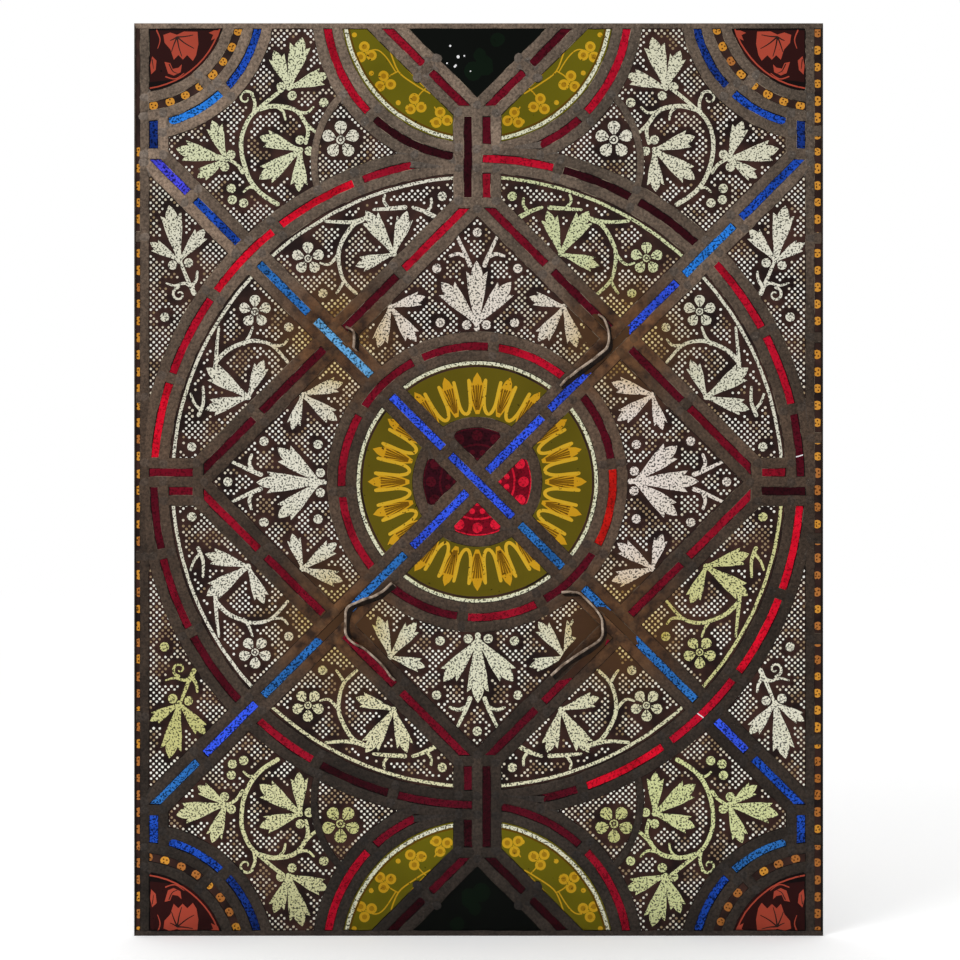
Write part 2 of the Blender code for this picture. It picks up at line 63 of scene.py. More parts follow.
# %% [markdown]
# ## The sizes of the cartoon
# Everything is drawn flat, in millimetres, round the middle of the main ring, with x to the
# right and z up. A few sizes drive the rest: the rings, the bands between two cames, and the
# circles that peep in at the edges. Depth runs along y, and the front looks towards -y.

# %% Driving sizes, in millimetres
LEFT_BORDER = 9.0  # from the panel's left edge to the middle of the border came
RIGHT_BORDER = 11.4
BAND = 16.6  # between the two cames of a narrow band
MIDDLE_CIRCLE = 133.9  # radius of the ruby bands of the top and bottom circles
INNER_RING = 120.2
CENTRE_RING = 52.8
STUB_INSIDE = 32.9  # from the main ring's band in to the corner of the diamond
STUB_OUTSIDE = 35.6  # and out to the point of the V band
CORNER_CIRCLE = 84.1
CORNER_RISE = 20.5
CORNER_SIDE = 6.5
PATTERN_DROP = 2.0
THIN_FOOT = math.radians(28.6)  # where a thin came meets the main ring, from upright
THIN_HEAD = math.radians(57.0)  # where it meets the circle, from straight down
THIN_BELLY = 12.0
CAME_WIDTH = 8.2
THIN_CAME_WIDTH = 5.3
BORDER_CAME_WIDTH = 6.9
HEART = 1.6  # the wall of a came between two panes
GLASS = 3.0
FIT = 0.3  # room for putty between glass and lead
LEAF_BACK = 1.8  # a leaf's inner face, from the middle of the glass
RIM_WIDTH = 4.4
SIDE_RIM_WIDTH = 1.6
RIM_WALL = 1.2
SIDE_RIM_WALL = 0.9

# %% Sizes that follow
panel_width = (cad_high.x - cad_low.x) / MM
panel_height = (cad_high.z - cad_low.z) / MM
HALF_BAND = BAND / 2
MAIN_RING = (panel_width - LEFT_BORDER - RIGHT_BORDER) / 2 - HALF_BAND
RING_IN = MAIN_RING - HALF_BAND
RING_OUT = MAIN_RING + HALF_BAND
PATTERN_HALF = panel_height / 2
INNER_IN = INNER_RING - HALF_BAND
INNER_OUT = INNER_RING + HALF_BAND
CIRCLE_CENTRE = (0.0, MAIN_RING + MIDDLE_CIRCLE)
CIRCLE_IN = MIDDLE_CIRCLE - HALF_BAND
CIRCLE_OUT = MIDDLE_CIRCLE + HALF_BAND
CORNER_RADII = (CORNER_CIRCLE, CORNER_CIRCLE + BAND, CORNER_CIRCLE + 2 * BAND)
SLANT = HALF_BAND * math.sqrt(2)
POINT = MAIN_RING + STUB_OUTSIDE
STUB_TOP = POINT - SLANT + BAND
DIAMOND = (MAIN_RING - STUB_INSIDE) / math.sqrt(2)
DIAMOND_IN = DIAMOND - HALF_BAND
DIAMOND_OUT = DIAMOND + HALF_BAND
STUB_FOOT = DIAMOND_OUT * math.sqrt(2) - BAND
LEFT, RIGHT = -RING_OUT - LEFT_BORDER, RING_OUT + RIGHT_BORDER
TOP, BOTTOM = PATTERN_HALF + PATTERN_DROP, PATTERN_DROP - PATTERN_HALF
MIDDLE = (0.0, 0.0)
EAST, NORTH, WEST, SOUTH = (1.0, 0.0), (0.0, 1.0), (-1.0, 0.0), (0.0, -1.0)
DIAGONAL = math.sqrt(0.5)
NE, NW = (DIAGONAL, DIAGONAL), (-DIAGONAL, DIAGONAL)
SW, SE = (-DIAGONAL, -DIAGONAL), (DIAGONAL, -DIAGONAL)
print(f"panel {panel_width:.0f} by {panel_height:.0f} mm, main ring {MAIN_RING:.1f} mm")

# %% [markdown]
# ## Lines of the cartoon
# A came is a list of points along its middle and, at each, the way across it. Straight runs and
# arcs are both cut into steps of a few millimetres, because real lead is never quite straight:
# later each point gets its own small dent. An arc keeps its points exactly on its circle.

# %% Points and ways
LEAD_STEP = 5.6  # along a came, between two points
OFF_EDGE = TOP + 2.0  # lines that run off the panel are drawn to here and trimmed


def at(*steps):
    """The point reached by steps of (direction, distance) from the pattern's centre."""
    return (
        sum(direction[0] * distance for direction, distance in steps),
        sum(direction[1] * distance for direction, distance in steps),
    )


def on_circle(centre, radius, bearing):
    return centre[0] + radius * math.cos(bearing), centre[1] + radius * math.sin(bearing)


def circle_at(centre, radius, x=None, z=None, side=1):
    """The point of a circle at a given x or z, on the side that the sign names."""
    if x is not None:
        return x, centre[1] + side * math.sqrt(radius**2 - (x - centre[0]) ** 2)
    return centre[0] + side * math.sqrt(radius**2 - (z - centre[1]) ** 2), z


def beside(direction, across, radius, offset):
    """Where a line along direction, set off across it, meets a circle round the centre."""
    return at((direction, math.sqrt(radius**2 - offset**2)), (across, offset))


def two_circles(radius, centre, other, side):
    """Where a circle round the pattern's centre meets one round a centre above it."""
    rise = (centre[1] ** 2 + radius**2 - other**2) / (2 * centre[1])
    return side * math.sqrt(radius**2 - rise**2), rise


print("a step up and to the right:", at((NE, 10.0)))


# %% Cames as lines
class Came:
    """Points along the middle of a came, the way across it at each, and its width."""

    def __init__(self, points, across, width=CAME_WIDTH):
        self.points = points
        self.across = across
        self.width = width

    def turned(self):
        points = [(-x, -z) for x, z in self.points]
        across = [(-x, -z) for x, z in self.across]
        return Came(points, across, self.width)

    def pieces(self, half_width):
        """The came as flat four-sided pieces, as wide as asked."""
        edges = [
            ((x + ax * half_width, z + az * half_width), (x - ax * half_width, z - az * half_width))
            for (x, z), (ax, az) in zip(self.points, self.across)
        ]
        return [[near[0], far[0], far[1], near[1]] for near, far in zip(edges, edges[1:])]


def straight(start, end, **finish):
    length = math.dist(start, end)
    along = ((end[0] - start[0]) / length, (end[1] - start[1]) / length)
    count = max(1, round(length / LEAD_STEP))
    points = [
        (start[0] + along[0] * length * i / count, start[1] + along[1] * length * i / count)
        for i in range(count + 1)
    ]
    return Came(points, [(-along[1], along[0])] * (count + 1), **finish)


def bearing_of(centre, point):
    return math.atan2(point[1] - centre[1], point[0] - centre[0])


def bent(centre, radius, start, end, **finish):
    """An arc about centre, the short way from start's bearing to end's."""
    first = bearing_of(centre, start)
    turn = (bearing_of(centre, end) - first + math.pi) % (2 * math.pi) - math.pi
    count = max(2, round(abs(turn) * radius / LEAD_STEP))
    bearings = [first + turn * i / count for i in range(count + 1)]
    points = [on_circle(centre, radius, bearing) for bearing in bearings]
    return Came(points, [on_circle(MIDDLE, 1, bearing) for bearing in bearings], **finish)


def bow_centre(start, end, bow):
    """The centre and radius of the arc that stands off the line start to end by bow, on its left."""
    chord = math.dist(start, end)
    radius = (chord**2 / 4 + bow**2) / (2 * bow)
    left = (-(end[1] - start[1]) / chord, (end[0] - start[0]) / chord)
    middle = ((start[0] + end[0]) / 2, (start[1] + end[1]) / 2)
    reach = bow - radius
    return (middle[0] + left[0] * reach, middle[1] + left[1] * reach), radius


print("a quarter of the main ring takes", len(bent(MIDDLE, MAIN_RING, EAST, NORTH).points), "points")

# %% [markdown]
# ## The network, half by half
# The window looks the same when it is turned half a circle, down to which band passes over
# which. So only one half is drawn, group by group, and turned for the other. The rings break
# where a blue diagonal passes over them, and the diagonals break under the ring elsewhere.

# %% Rings
def thin_foot(side):
    return side * RING_OUT * math.sin(THIN_FOOT), RING_OUT * math.cos(THIN_FOOT)


def thin_head(side):
    x = side * CIRCLE_OUT * math.sin(THIN_HEAD)
    return x, CIRCLE_CENTRE[1] - CIRCLE_OUT * math.cos(THIN_HEAD)


def ring_cames():
    for radius in (RING_IN, RING_OUT):
        start = two_circles(RING_OUT, CIRCLE_CENTRE, CIRCLE_OUT, -1)
        if radius == RING_IN:
            start = circle_at(MIDDLE, radius, x=-BAND)
        yield bent(MIDDLE, radius, start, circle_at(MIDDLE, radius, z=BAND, side=-1))
        yield bent(MIDDLE, radius, (0, radius), beside(NE, NW, radius, HALF_BAND))
        yield bent(MIDDLE, radius, beside(NE, SE, radius, HALF_BAND), (radius, 0))
    for radius in (INNER_IN, INNER_OUT):
        ends = [beside(arm, NW, radius, HALF_BAND) for arm in (NE, SW)]
        yield bent(MIDDLE, radius, *ends)
    for first, second in ((NE, NW), (NW, SW)):
        start = beside(first, second, CENTRE_RING, HALF_BAND)
        yield bent(MIDDLE, CENTRE_RING, start, beside(second, first, CENTRE_RING, HALF_BAND))


print(len(list(ring_cames())), "cames in half of the rings")

# %% Diagonals, diamond and stubs
def diagonal_cames():
    upright = RING_OUT - BAND
    yield straight(beside(NW, NE, INNER_IN, HALF_BAND), beside(SE, NE, INNER_IN, HALF_BAND))
    for arm in (NE, NW):
        above, below = (NW, SE) if arm == NE else (NE, SW)
        for across, edge, lean in ((above, upright, 1), (below, RING_OUT, -1)):
            end = at((arm, edge * math.sqrt(2) + lean * HALF_BAND), (across, HALF_BAND))
            if arm == NE:
                yield straight(at((arm, HALF_BAND), (across, HALF_BAND)), end)
                continue
            inside = beside(arm, across, INNER_OUT, HALF_BAND)
            yield straight(inside, beside(arm, across, RING_IN, HALF_BAND))
            yield straight(beside(arm, across, RING_OUT, HALF_BAND), end)


def diamond_cames():
    outer = DIAMOND_OUT - BAND * math.sqrt(2)
    for side in (NW, NE):
        for way in (NE, SW) if side == NW else (NW, SE):
            for offset, end in ((DIAMOND_OUT, outer), (DIAMOND_IN, DIAMOND_IN)):
                yield straight(at((side, offset), (way, HALF_BAND)), at((side, offset), (way, end)))


def stub_cames():
    inner_corner = DIAMOND_IN * math.sqrt(2)
    yield straight((-BAND, STUB_TOP), (-BAND, STUB_FOOT))
    yield straight((0, POINT + SLANT), (0, inner_corner))
    yield straight((BAND, STUB_TOP), circle_at(MIDDLE, RING_OUT, x=BAND))
    yield straight(circle_at(MIDDLE, RING_IN, x=BAND), (BAND, STUB_FOOT))
    yield straight((-RING_OUT, BAND), (-STUB_FOOT, BAND))
    yield straight((-RING_OUT, 0), (-inner_corner, 0))
    yield straight(circle_at(MIDDLE, RING_IN, z=-BAND, side=-1), (-STUB_FOOT, -BAND))


print(len([*diagonal_cames(), *diamond_cames(), *stub_cames()]), "straight cames in one half")

# %% Circles, corners and borders
def corner_centre(side):
    return side * (RING_OUT + CORNER_SIDE), PATTERN_HALF + CORNER_RISE


def circle_cames():
    for side in (-1, 1):
        for radius in (CIRCLE_IN, CIRCLE_OUT):
            start = circle_at(CIRCLE_CENTRE, radius, x=side * BAND, side=-1)
            if radius == CIRCLE_OUT and side == 1:
                start = two_circles(RING_OUT, CIRCLE_CENTRE, CIRCLE_OUT, 1)
            end = circle_at(CIRCLE_CENTRE, radius, z=OFF_EDGE, side=side)
            yield bent(CIRCLE_CENTRE, radius, start, end)
        rise = OFF_EDGE - POINT
        yield straight((side * BAND, STUB_TOP), (side * (rise + SLANT), OFF_EDGE))
        yield straight((0, POINT + SLANT), (side * (rise - SLANT), OFF_EDGE))


def corner_cames():
    for side in (-1, 1):
        centre = corner_centre(side)
        upright = side * (RING_OUT - BAND)
        head = circle_at(centre, CORNER_RADII[1], x=upright, side=-1)
        for radius in CORNER_RADII:
            start = circle_at(centre, radius, z=OFF_EDGE, side=-side)
            end = upright if radius == CORNER_RADII[2] else side * RING_OUT
            yield bent(centre, radius, start, circle_at(centre, radius, x=end, side=-1))
        yield straight((upright, RING_OUT - BAND + SLANT), head)


def thin_cames():
    for side in (-1, 1):
        ends = [thin_foot(side), thin_head(side)][::-side]
        yield bent(*bow_centre(*ends, THIN_BELLY), *ends, width=THIN_CAME_WIDTH)


def border_came():
    yield straight((-RING_OUT, -OFF_EDGE), (-RING_OUT, OFF_EDGE), width=BORDER_CAME_WIDTH)


def both_halves(*groups):
    half = [came for group in groups for came in group()]
    return half + [came.turned() for came in half]


long_cames = both_halves(
    ring_cames, diagonal_cames, diamond_cames, stub_cames, circle_cames, corner_cames, thin_cames,
    border_came,
)
print(len(long_cames), "long cames")

# %% [markdown]
# ## Cross leads
# No glazier cuts a long curved strip of glass in one go, because it would snap. Each band is
# made of short strips with a little piece of came across the band between them. Their places
# are the makers' choice and not quite regular, so they are written down band by band.

# %% Cross leads of the bands
RING_CROSSES = (13.0, 27.6, 60.9, 75.5, 111.6, 128.3, 144.7, 161.3,
                -167.1, -152.3, -119.8, -105.1, -71.1, -54.1, -36.9, -20.3)
INNER_CROSSES = (7.6, 83.2, 116.1, 148.6, -175.9, -96.3, -62.3, -29.7)
DIAMOND_CROSSES = ((NW, NE, (83, -96)), (NE, NW, (89, -82)), (SW, NW, (90, -80)), (SE, NE, (81, -101)))
ARM_CROSSES = ((NW, (38, 207, 358)), (SE, (49, 342)), (NE, (86, 255, 326)), (SW, (86, 273, 346)))
CIRCLE_CROSS = math.radians(44.5)  # from straight down
CORNER_CROSS = math.radians(45.0)
BEAD_CROSS = math.radians(49.5)
V_CROSS = 63.0  # along the V bands from their point
CAP_HEAD = STUB_TOP + 1.5  # middle of the cap at a stub's outer end
CAP_FOOT = STUB_FOOT - 1.5
RIGHT_BEAD_CROSSES = (311, 216, 128, 39, -50, -139, -228, -317)
LEFT_BEAD_CROSSES = (217, 75, -66, -208)


def across_ring(centre, radius, bearing, half=HALF_BAND):
    return straight(on_circle(centre, radius - half, bearing), on_circle(centre, radius + half, bearing))


def band_crosses():
    for degrees in RING_CROSSES:
        yield across_ring(MIDDLE, MAIN_RING, math.radians(degrees))
    for degrees in INNER_CROSSES:
        yield across_ring(MIDDLE, INNER_RING, math.radians(degrees))
    for side, way, places in DIAMOND_CROSSES:
        for place in places:
            yield straight(at((side, DIAMOND_IN), (way, place)), at((side, DIAMOND_OUT), (way, place)))
    for arm, places in ARM_CROSSES:
        across = (-arm[1], arm[0])
        for place in places:
            ends = [at((arm, place), (across, side * HALF_BAND)) for side in (-1, 1)]
            yield straight(*ends)


def edge_crosses():
    down = -math.pi / 2
    for flip in (1, -1):
        centre = (0.0, CIRCLE_CENTRE[1] * flip)
        for side in (-1, 1):
            yield across_ring(centre, MIDDLE_CIRCLE, (down + side * CIRCLE_CROSS) * flip)
            foot = (side * V_CROSS * DIAGONAL, (POINT + V_CROSS * DIAGONAL) * flip)
            reach = SLANT * DIAGONAL
            yield straight(
                (foot[0] - side * reach, foot[1] + reach * flip),
                (foot[0] + side * reach, foot[1] - reach * flip),
            )
            corner = corner_centre(side)
            corner = (corner[0], corner[1] * flip)
            for bands, slope in ((1.5, CORNER_CROSS), (0.5, BEAD_CROSS)):
                bearing = down - side * (math.pi / 2 - slope)
                yield across_ring(corner, CORNER_CIRCLE + bands * BAND, bearing * flip)


def caps():
    for flip in (1, -1):
        yield straight((-BAND, CAP_HEAD * flip), (BAND, CAP_HEAD * flip))
        yield straight((-BAND, CAP_FOOT * flip), (BAND, CAP_FOOT * flip))
        yield straight((CAP_FOOT * flip, -BAND), (CAP_FOOT * flip, BAND))
        for side in (-1, 1):
            end = RING_OUT - HALF_BAND / 2
            yield straight((side * (RING_OUT - BAND), flip * end), (side * RING_OUT, flip * end))
    for z in RIGHT_BEAD_CROSSES:
        yield straight((RING_OUT, z), (RIGHT - SIDE_RIM_WALL, z))
    for z in LEFT_BEAD_CROSSES:
        yield straight((LEFT + SIDE_RIM_WALL, z), (-RING_OUT, z))


cross_leads = [*band_crosses(), *edge_crosses(), *caps()]
cames = long_cames + cross_leads
print(len(cross_leads), "cross leads")

# %% [markdown]
# ## Cutting the glass
# Where the cames' thin hearts run, there is no glass. A constrained Delaunay triangulation takes
# the panel and every heart as shapes, cuts the plane into triangles along all their edges and
# says which shapes cover each triangle. Triangles with no heart over them then hang together in
# islands, and each island is one piece of glass, found without naming a single one by hand.

# %% The plan
def sides_of(loop):
    """Each corner of a closed loop with the next one."""
    return zip(loop, loop[1:] + loop[:1])


def area(shape):
    return 0.5 * sum(a[0] * b[1] - b[0] * a[1] for a, b in sides_of(shape))


def rectangle(left, bottom, right, top):
    return [(left, bottom), (right, bottom), (right, top), (left, top)]


def rim(side, end):
    """The four strips along the panel's edges, as deep as side and end say."""
    return [
        rectangle(LEFT, BOTTOM, LEFT + side, TOP),
        rectangle(RIGHT - side, BOTTOM, RIGHT, TOP),
        rectangle(LEFT, BOTTOM, RIGHT, BOTTOM + end),
        rectangle(LEFT, TOP - end, RIGHT, TOP),
    ]


class Plan:
    """Shapes cut into triangles, each with the kinds of shape that cover it."""

    def __init__(self, shapes):
        points, faces, kinds = [], [], []
        for kind, outlines in shapes.items():
            for outline in outlines:
                if area(outline) < 0:
                    outline = outline[::-1]
                faces.append(list(range(len(points), len(points) + len(outline))))
                points.extend(outline)
                kinds.append(kind)
        found = delaunay_2d_cdt(points, [], faces, 1, 1e-3, True)
        self.points = [tuple(point) for point in found[0]]
        self.triangles = []
        self.cover = []
        for triangle, sources in zip(found[2], found[5]):
            corners = [self.points[index] for index in triangle]
            self.triangles.append(tuple(triangle if area(corners) > 0 else triangle[::-1]))
            self.cover.append({kinds[source] for source in sources})

    def islands(self, chosen):
        """The chosen triangles in groups that hang together by their edges."""
        edges = {i: list(sides_of(self.triangles[i])) for i in chosen}
        owner = {edge: i for i in chosen for edge in edges[i]}
        left = set(chosen)
        for seed in sorted(chosen):
            if seed not in left:
                continue
            left.remove(seed)
            group, fresh = [], [seed]
            while fresh:
                index = fresh.pop()
                group.append(index)
                for a, b in edges[index]:
                    other = owner.get((b, a))
                    if other in left:
                        left.remove(other)
                        fresh.append(other)
            yield group

    def size(self, group):
        return sum(area([self.points[corner] for corner in self.triangles[i]]) for i in group)

    def outline_corners(self, group):
        """The loop of corners round a group of triangles."""
        follow = {}
        inner = {edge for i in group for edge in sides_of(self.triangles[i])}
        for a, b in inner:
            if (b, a) not in inner:
                follow[a] = b
        start = min(follow)
        loop = [start]
        while follow[loop[-1]] != start:
            loop.append(follow[loop[-1]])
        return loop


crossed = Plan({"upright": [rectangle(0, 0, 1, 3)], "level": [rectangle(-1, 1, 2, 2)]})
print("two crossed bars are cut into", len(crossed.triangles), "triangles")

# %% Every piece of glass
SMALLEST_PIECE = 20.0  # square millimetres; less is a chink full of solder

hearts = [piece for came in cames for piece in came.pieces(HEART / 2 + FIT)]
walls = rim(SIDE_RIM_WALL + FIT, RIM_WALL + FIT)
bench = Plan({"panel": [rectangle(LEFT, BOTTOM, RIGHT, TOP)], "lead": hearts + walls})
clear = [i for i, cover in enumerate(bench.cover) if cover == {"panel"}]


class Pane:
    """One piece of glass: its outline and a point well inside it."""

    def __init__(self, group):
        triangles = [[bench.points[corner] for corner in bench.triangles[i]] for i in group]
        widest = max(triangles, key=area)
        self.size = bench.size(group)
        self.outline = [bench.points[corner] for corner in bench.outline_corners(group)]
        self.inside = (sum(x for x, z in widest) / 3, sum(z for x, z in widest) / 3)
        self.middle = tuple(
            sum(area(t) * sum(corner[axis] for corner in t) / 3 for t in triangles) / self.size
            for axis in (0, 1)
        )


panes = [Pane(group) for group in bench.islands(clear) if bench.size(group) > SMALLEST_PIECE]
print(len(panes), "pieces of glass")

# %% [markdown]
# ## From drawing to solid
# A piece is gathered as plain lists of corners and faces, still in millimetres, and turned into
# one mesh at the end. That is much faster than calling modelling operators hundreds of times,
# and every face can carry the number of its material and a tint of its own.

# %% A solid being made
SHIFT_X, SHIFT_Z = -(LEFT + RIGHT) / 2, -BOTTOM
WHITE = (1.0, 1.0, 1.0)


class Solid:
    """Corners and faces, and for each face the number of its material and its tint."""

    def __init__(self):
        self.corners = []
        self.faces = []
        self.looks = []
        self.tints = []

    def corner(self, x, y, z):
        x = min(max(x, LEFT), RIGHT)
        z = min(max(z, BOTTOM), TOP)
        self.corners.append(((x + SHIFT_X) * MM, y * MM, (z + SHIFT_Z) * MM))
        return len(self.corners) - 1

    def face(self, corners, look=0, tint=WHITE):
        self.faces.append(corners)
        self.looks.append(look)
        self.tints.append(tint)

    def sleeve(self, rings, looks=None, tint=WHITE):
        """Closed rings of corners joined one after the other, a look for each side, both ends capped."""
        looks = looks or [0] * len(rings[0])
        for near, far in zip(rings, rings[1:]):
            for i, look in enumerate(looks):
                j = (i + 1) % len(near)
                self.face([near[i], near[j], far[j], far[i]], look, tint)
        self.face(rings[0][::-1], 0, tint)
        self.face(rings[-1], 0, tint)

    def finish(self, name, materials, slot, nodes, smooth=None):
        """The mesh as an object that rides on the panel and stands for these nodes."""
        mesh = bpy.data.meshes.new(name)
        mesh.from_pydata(self.corners, [], self.faces)
        for material in materials:
            mesh.materials.append(material)
        mesh.polygons.foreach_set("material_index", self.looks)
        tints = mesh.attributes.new("tint", "FLOAT_COLOR", "CORNER")
        values = []
        for face, tint in zip(self.faces, self.tints):
            values.extend((*tint, 1.0) * len(face))
        tints.data.foreach_set("color", values)
        mesh.validate()
        if smooth:
            mesh.shade_smooth()
            mesh.set_sharp_from_angle(angle=math.radians(smooth))
        thing = bpy.data.objects.new(name, mesh)
        bpy.context.scene.collection.objects.link(thing)
        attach(thing, "root")
        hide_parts(*nodes)


print(f"the pattern's centre stands {SHIFT_Z:.1f} mm above the panel's foot")

# %% [markdown]
# ## Came after came
# A came's section is an H: a leaf in front, a leaf behind and the heart between. The outer faces
# are a little crowned. The section is carried along each line, and at every step a smooth noise
# makes it a touch wider or flatter, as lead is after a century of pressing and cleaning.

# %% The section of a came
CROWN = 2.62  # the leaf's outer face at its middle, from the middle of the glass
SHOULDER = 2.5
SHOULDER_AT = 0.72  # share of the half width
BRIM = 2.15  # the outer face at the leaf's edge
DENT = 0.12
WAVER = 0.35  # how much an edge wanders sideways
PRESSED = 0.35  # leaves are rubbed flat, and so grow wider on each side
CEMENT = 1.1  # the fillet of old cement reaches this share of the half width
GLASS_FACE = 1.52
WAVER_LENGTH = 11.0


def came_section(half_width):
    """The H as (share across, depth), anticlockwise seen along the came, from a fillet of cement on."""
    heart = HEART / 2 / half_width
    front = [
        (-CEMENT, -GLASS_FACE), (-1, -BRIM), (-SHOULDER_AT, -SHOULDER), (0, -CROWN),
        (SHOULDER_AT, -SHOULDER), (1, -BRIM), (CEMENT, -GLASS_FACE),
    ]
    back = [(across, -depth) for across, depth in front[::-1]]
    return [*front, (heart, -LEAF_BACK), (heart, LEAF_BACK), *back, (-heart, LEAF_BACK), (-heart, -LEAF_BACK)]


CEMENTED = (0, 5, 9, 14)  # the section's sides that are cement


def wander(x, z, layer):
    return noise.noise((x / WAVER_LENGTH, z / WAVER_LENGTH, layer))


def trimmed(came):
    """The came cut where it runs off the panel."""
    low, high = BOTTOM + RIM_WALL, TOP - RIM_WALL
    points, across = [], []
    for index, ((x, z), way) in enumerate(zip(came.points, came.across)):
        if low <= z <= high:
            points.append((x, z))
            across.append(way)
            continue
        limit = high if z > high else low
        for near in (index - 1, index + 1):
            if 0 <= near < len(came.points) and low < came.points[near][1] < high:
                other = came.points[near]
                share = (limit - other[1]) / (z - other[1])
                points.append((other[0] + (x - other[0]) * share, limit))
                across.append(way)
    return Came(points, across, came.width)


def lay_came(net, came, sink):
    """One came's solid. Sink lowers its faces a little, where it passes below another."""
    came = trimmed(came)
    half_width = came.width / 2
    section = came_section(half_width)
    rings = []
    for (x, z), (ax, az) in zip(came.points, came.across):
        left = half_width + PRESSED + WAVER * wander(x, z, 1)
        right = half_width + PRESSED + WAVER * wander(x, z, 5)
        ring = []
        for share, depth in section:
            side = right if share > 0 else left
            dent = DENT * (1 + wander(x + share, z, 9 if depth < 0 else 13)) + sink
            if abs(depth) > LEAF_BACK:
                depth -= math.copysign(dent, depth)
            ring.append(net.corner(x + ax * share * side, depth, z + az * share * side))
        rings.append(ring)
    shade = 0.92 + 0.5 * noise.noise((len(net.faces) * 0.37, 0.5, 3.5))
    net.sleeve(rings, [int(i in CEMENTED) for i in range(len(section))], (shade,) * 3)


net = Solid()
for order, came in enumerate(long_cames):
    lay_came(net, came, sink=0.02 * (order % 4))
for came in cross_leads:
    lay_came(net, came, sink=0.11)
print(len(net.faces), "faces of lead")

# %% [markdown]
# ## Rims
# Round the edge runs a came that is open on one side only. Its wall is the panel's own edge. It
# could be a bevelled frame, but a U carried along four lines keeps its slot for the glass.

# %% Rims
RIM_FACE = 2.8
SIDE_SOOT = (0.2, 0.19, 0.18)  # the sides sat in mortar and are nearly black


def lay_rim(start, end, inward, width, wall, tint=WHITE):
    """A U section along an edge of the panel, open towards the glass."""
    shoulder = (width * 0.75, RIM_FACE - 0.1)
    section = [
        (0, RIM_FACE), (0, -RIM_FACE), (shoulder[0], -shoulder[1]), (width, -BRIM), (width, -LEAF_BACK),
        (wall, -LEAF_BACK), (wall, LEAF_BACK), (width, LEAF_BACK), (width, BRIM), shoulder,
    ]
    rings = []
    for x, z in straight(start, end).points:
        waver = 1 + 0.4 * WAVER * wander(x, z, 21)
        rings.append([
            net.corner(x + inward[0] * reach * waver, depth, z + inward[1] * reach * waver)
            for reach, depth in section
        ])
    net.sleeve(rings, tint=tint)


lay_rim((LEFT, TOP), (RIGHT, TOP), SOUTH, RIM_WIDTH, RIM_WALL)
lay_rim((LEFT, BOTTOM), (RIGHT, BOTTOM), NORTH, RIM_WIDTH, RIM_WALL)
lay_rim((LEFT, BOTTOM), (LEFT, TOP), EAST, SIDE_RIM_WIDTH, SIDE_RIM_WALL, SIDE_SOOT)
lay_rim((RIGHT, BOTTOM), (RIGHT, TOP), WEST, SIDE_RIM_WIDTH, SIDE_RIM_WALL, SIDE_SOOT)
print(len(net.faces), "faces with the rims")

# %% [markdown]
# ## Solder
# At every joint a drop of solder was melted over the leads, front and back. A joint is found
# where a came ends, and ends that lie close together share one drop. The drop is a low dome of
# three rings with a ragged rim, which is lighter than a modelled sphere and looks flatter, as
# wiped solder does.

# %% Solder drops
DROP_RADIUS = 4.4
DROP_STEPS = 12
DROP_RISE = ((0.0, 2.78), (0.45, 2.74), (0.8, 2.56), (1.0, 2.2))
JOINT_GAP = 6.0  # ends nearer than this share one drop
SOLDER_TINT = (0.86, 0.94, 1.04)  # tin keeps it greyer than the lead


def faced(corners, side):
    """A face's corners, turned round for the back."""
    return corners if side < 0 else corners[::-1]


def lay_drop(x, z, side):
    rings = []
    top = net.corner(x, side * DROP_RISE[0][1], z)
    for share, depth in DROP_RISE[1:]:
        ring = []
        for step in range(DROP_STEPS):
            bearing = 2 * math.pi * step / DROP_STEPS
            ragged = 1 + 0.3 * wander(*on_circle((x, z), 9, bearing), 31)
            edge_x, edge_z = on_circle((x, z), DROP_RADIUS * share * ragged, bearing)
            ring.append(net.corner(edge_x, side * depth, edge_z))
        rings.append(ring)
    foot = net.corner(x, side * LEAF_BACK, z)
    for i in range(DROP_STEPS):
        j = (i + 1) % DROP_STEPS
        bands = [[top, rings[0][i], rings[0][j]], [rings[-1][i], foot, rings[-1][j]]]
        bands += [[near[i], far[i], far[j], near[j]] for near, far in zip(rings, rings[1:])]
        for band in bands:
            net.face(faced(band, side), 0, SOLDER_TINT)


joints = []
for came in cames:
    for x, z in (came.points[0], came.points[-1]):
        inside = BOTTOM < z - CAME_WIDTH and z + CAME_WIDTH < TOP
        inside = inside and LEFT < x - CAME_WIDTH and x + CAME_WIDTH < RIGHT
        if inside and all(math.dist((x, z), joint) > JOINT_GAP for joint in joints):
            joints.append((x, z))
for x, z in joints:
    lay_drop(x, z, -1)
    lay_drop(x, z, 1)
print(len(joints), "soldered joints")

# %% [markdown]
# ## Webs of solder
# Where two leads part at a narrow angle, solder runs into the corner and rounds it off. To find
# such corners, the bearings of all leads that leave a joint are sorted, and each narrow gap
# gets a small web with a hollow edge. In a narrow strip the web reaches out further than in a
# large pane, so the web first asks which piece of glass lies beyond it.

# %% Inside an outline
def edges_of(outlines):
    starts = np.array([point for outline in outlines for point in outline])
    ends = np.array([point for outline in outlines for point in [*outline[1:], outline[0]]])
    return starts, ends


def inside_any(dots, outlines):
    """Which points lie inside one of the outlines: a line from there crosses it an odd number of times."""
    found = np.zeros(len(dots), bool)
    for outline in outlines:
        starts, ends = edges_of([outline])
        run = ends - starts
        above = (starts[:, 1] > dots[:, None, 1]) != (ends[:, 1] > dots[:, None, 1])
        with np.errstate(divide="ignore", invalid="ignore"):
            cross = starts[:, 0] + (dots[:, None, 1] - starts[:, 1]) * run[:, 0] / run[:, 1]
        found |= (above & (dots[:, None, 0] < cross)).sum(1) % 2 == 1
    return found


print("the middle lies inside a square round it:", inside_any(np.zeros((1, 2)), [rectangle(-1, -1, 1, 1)])[0])


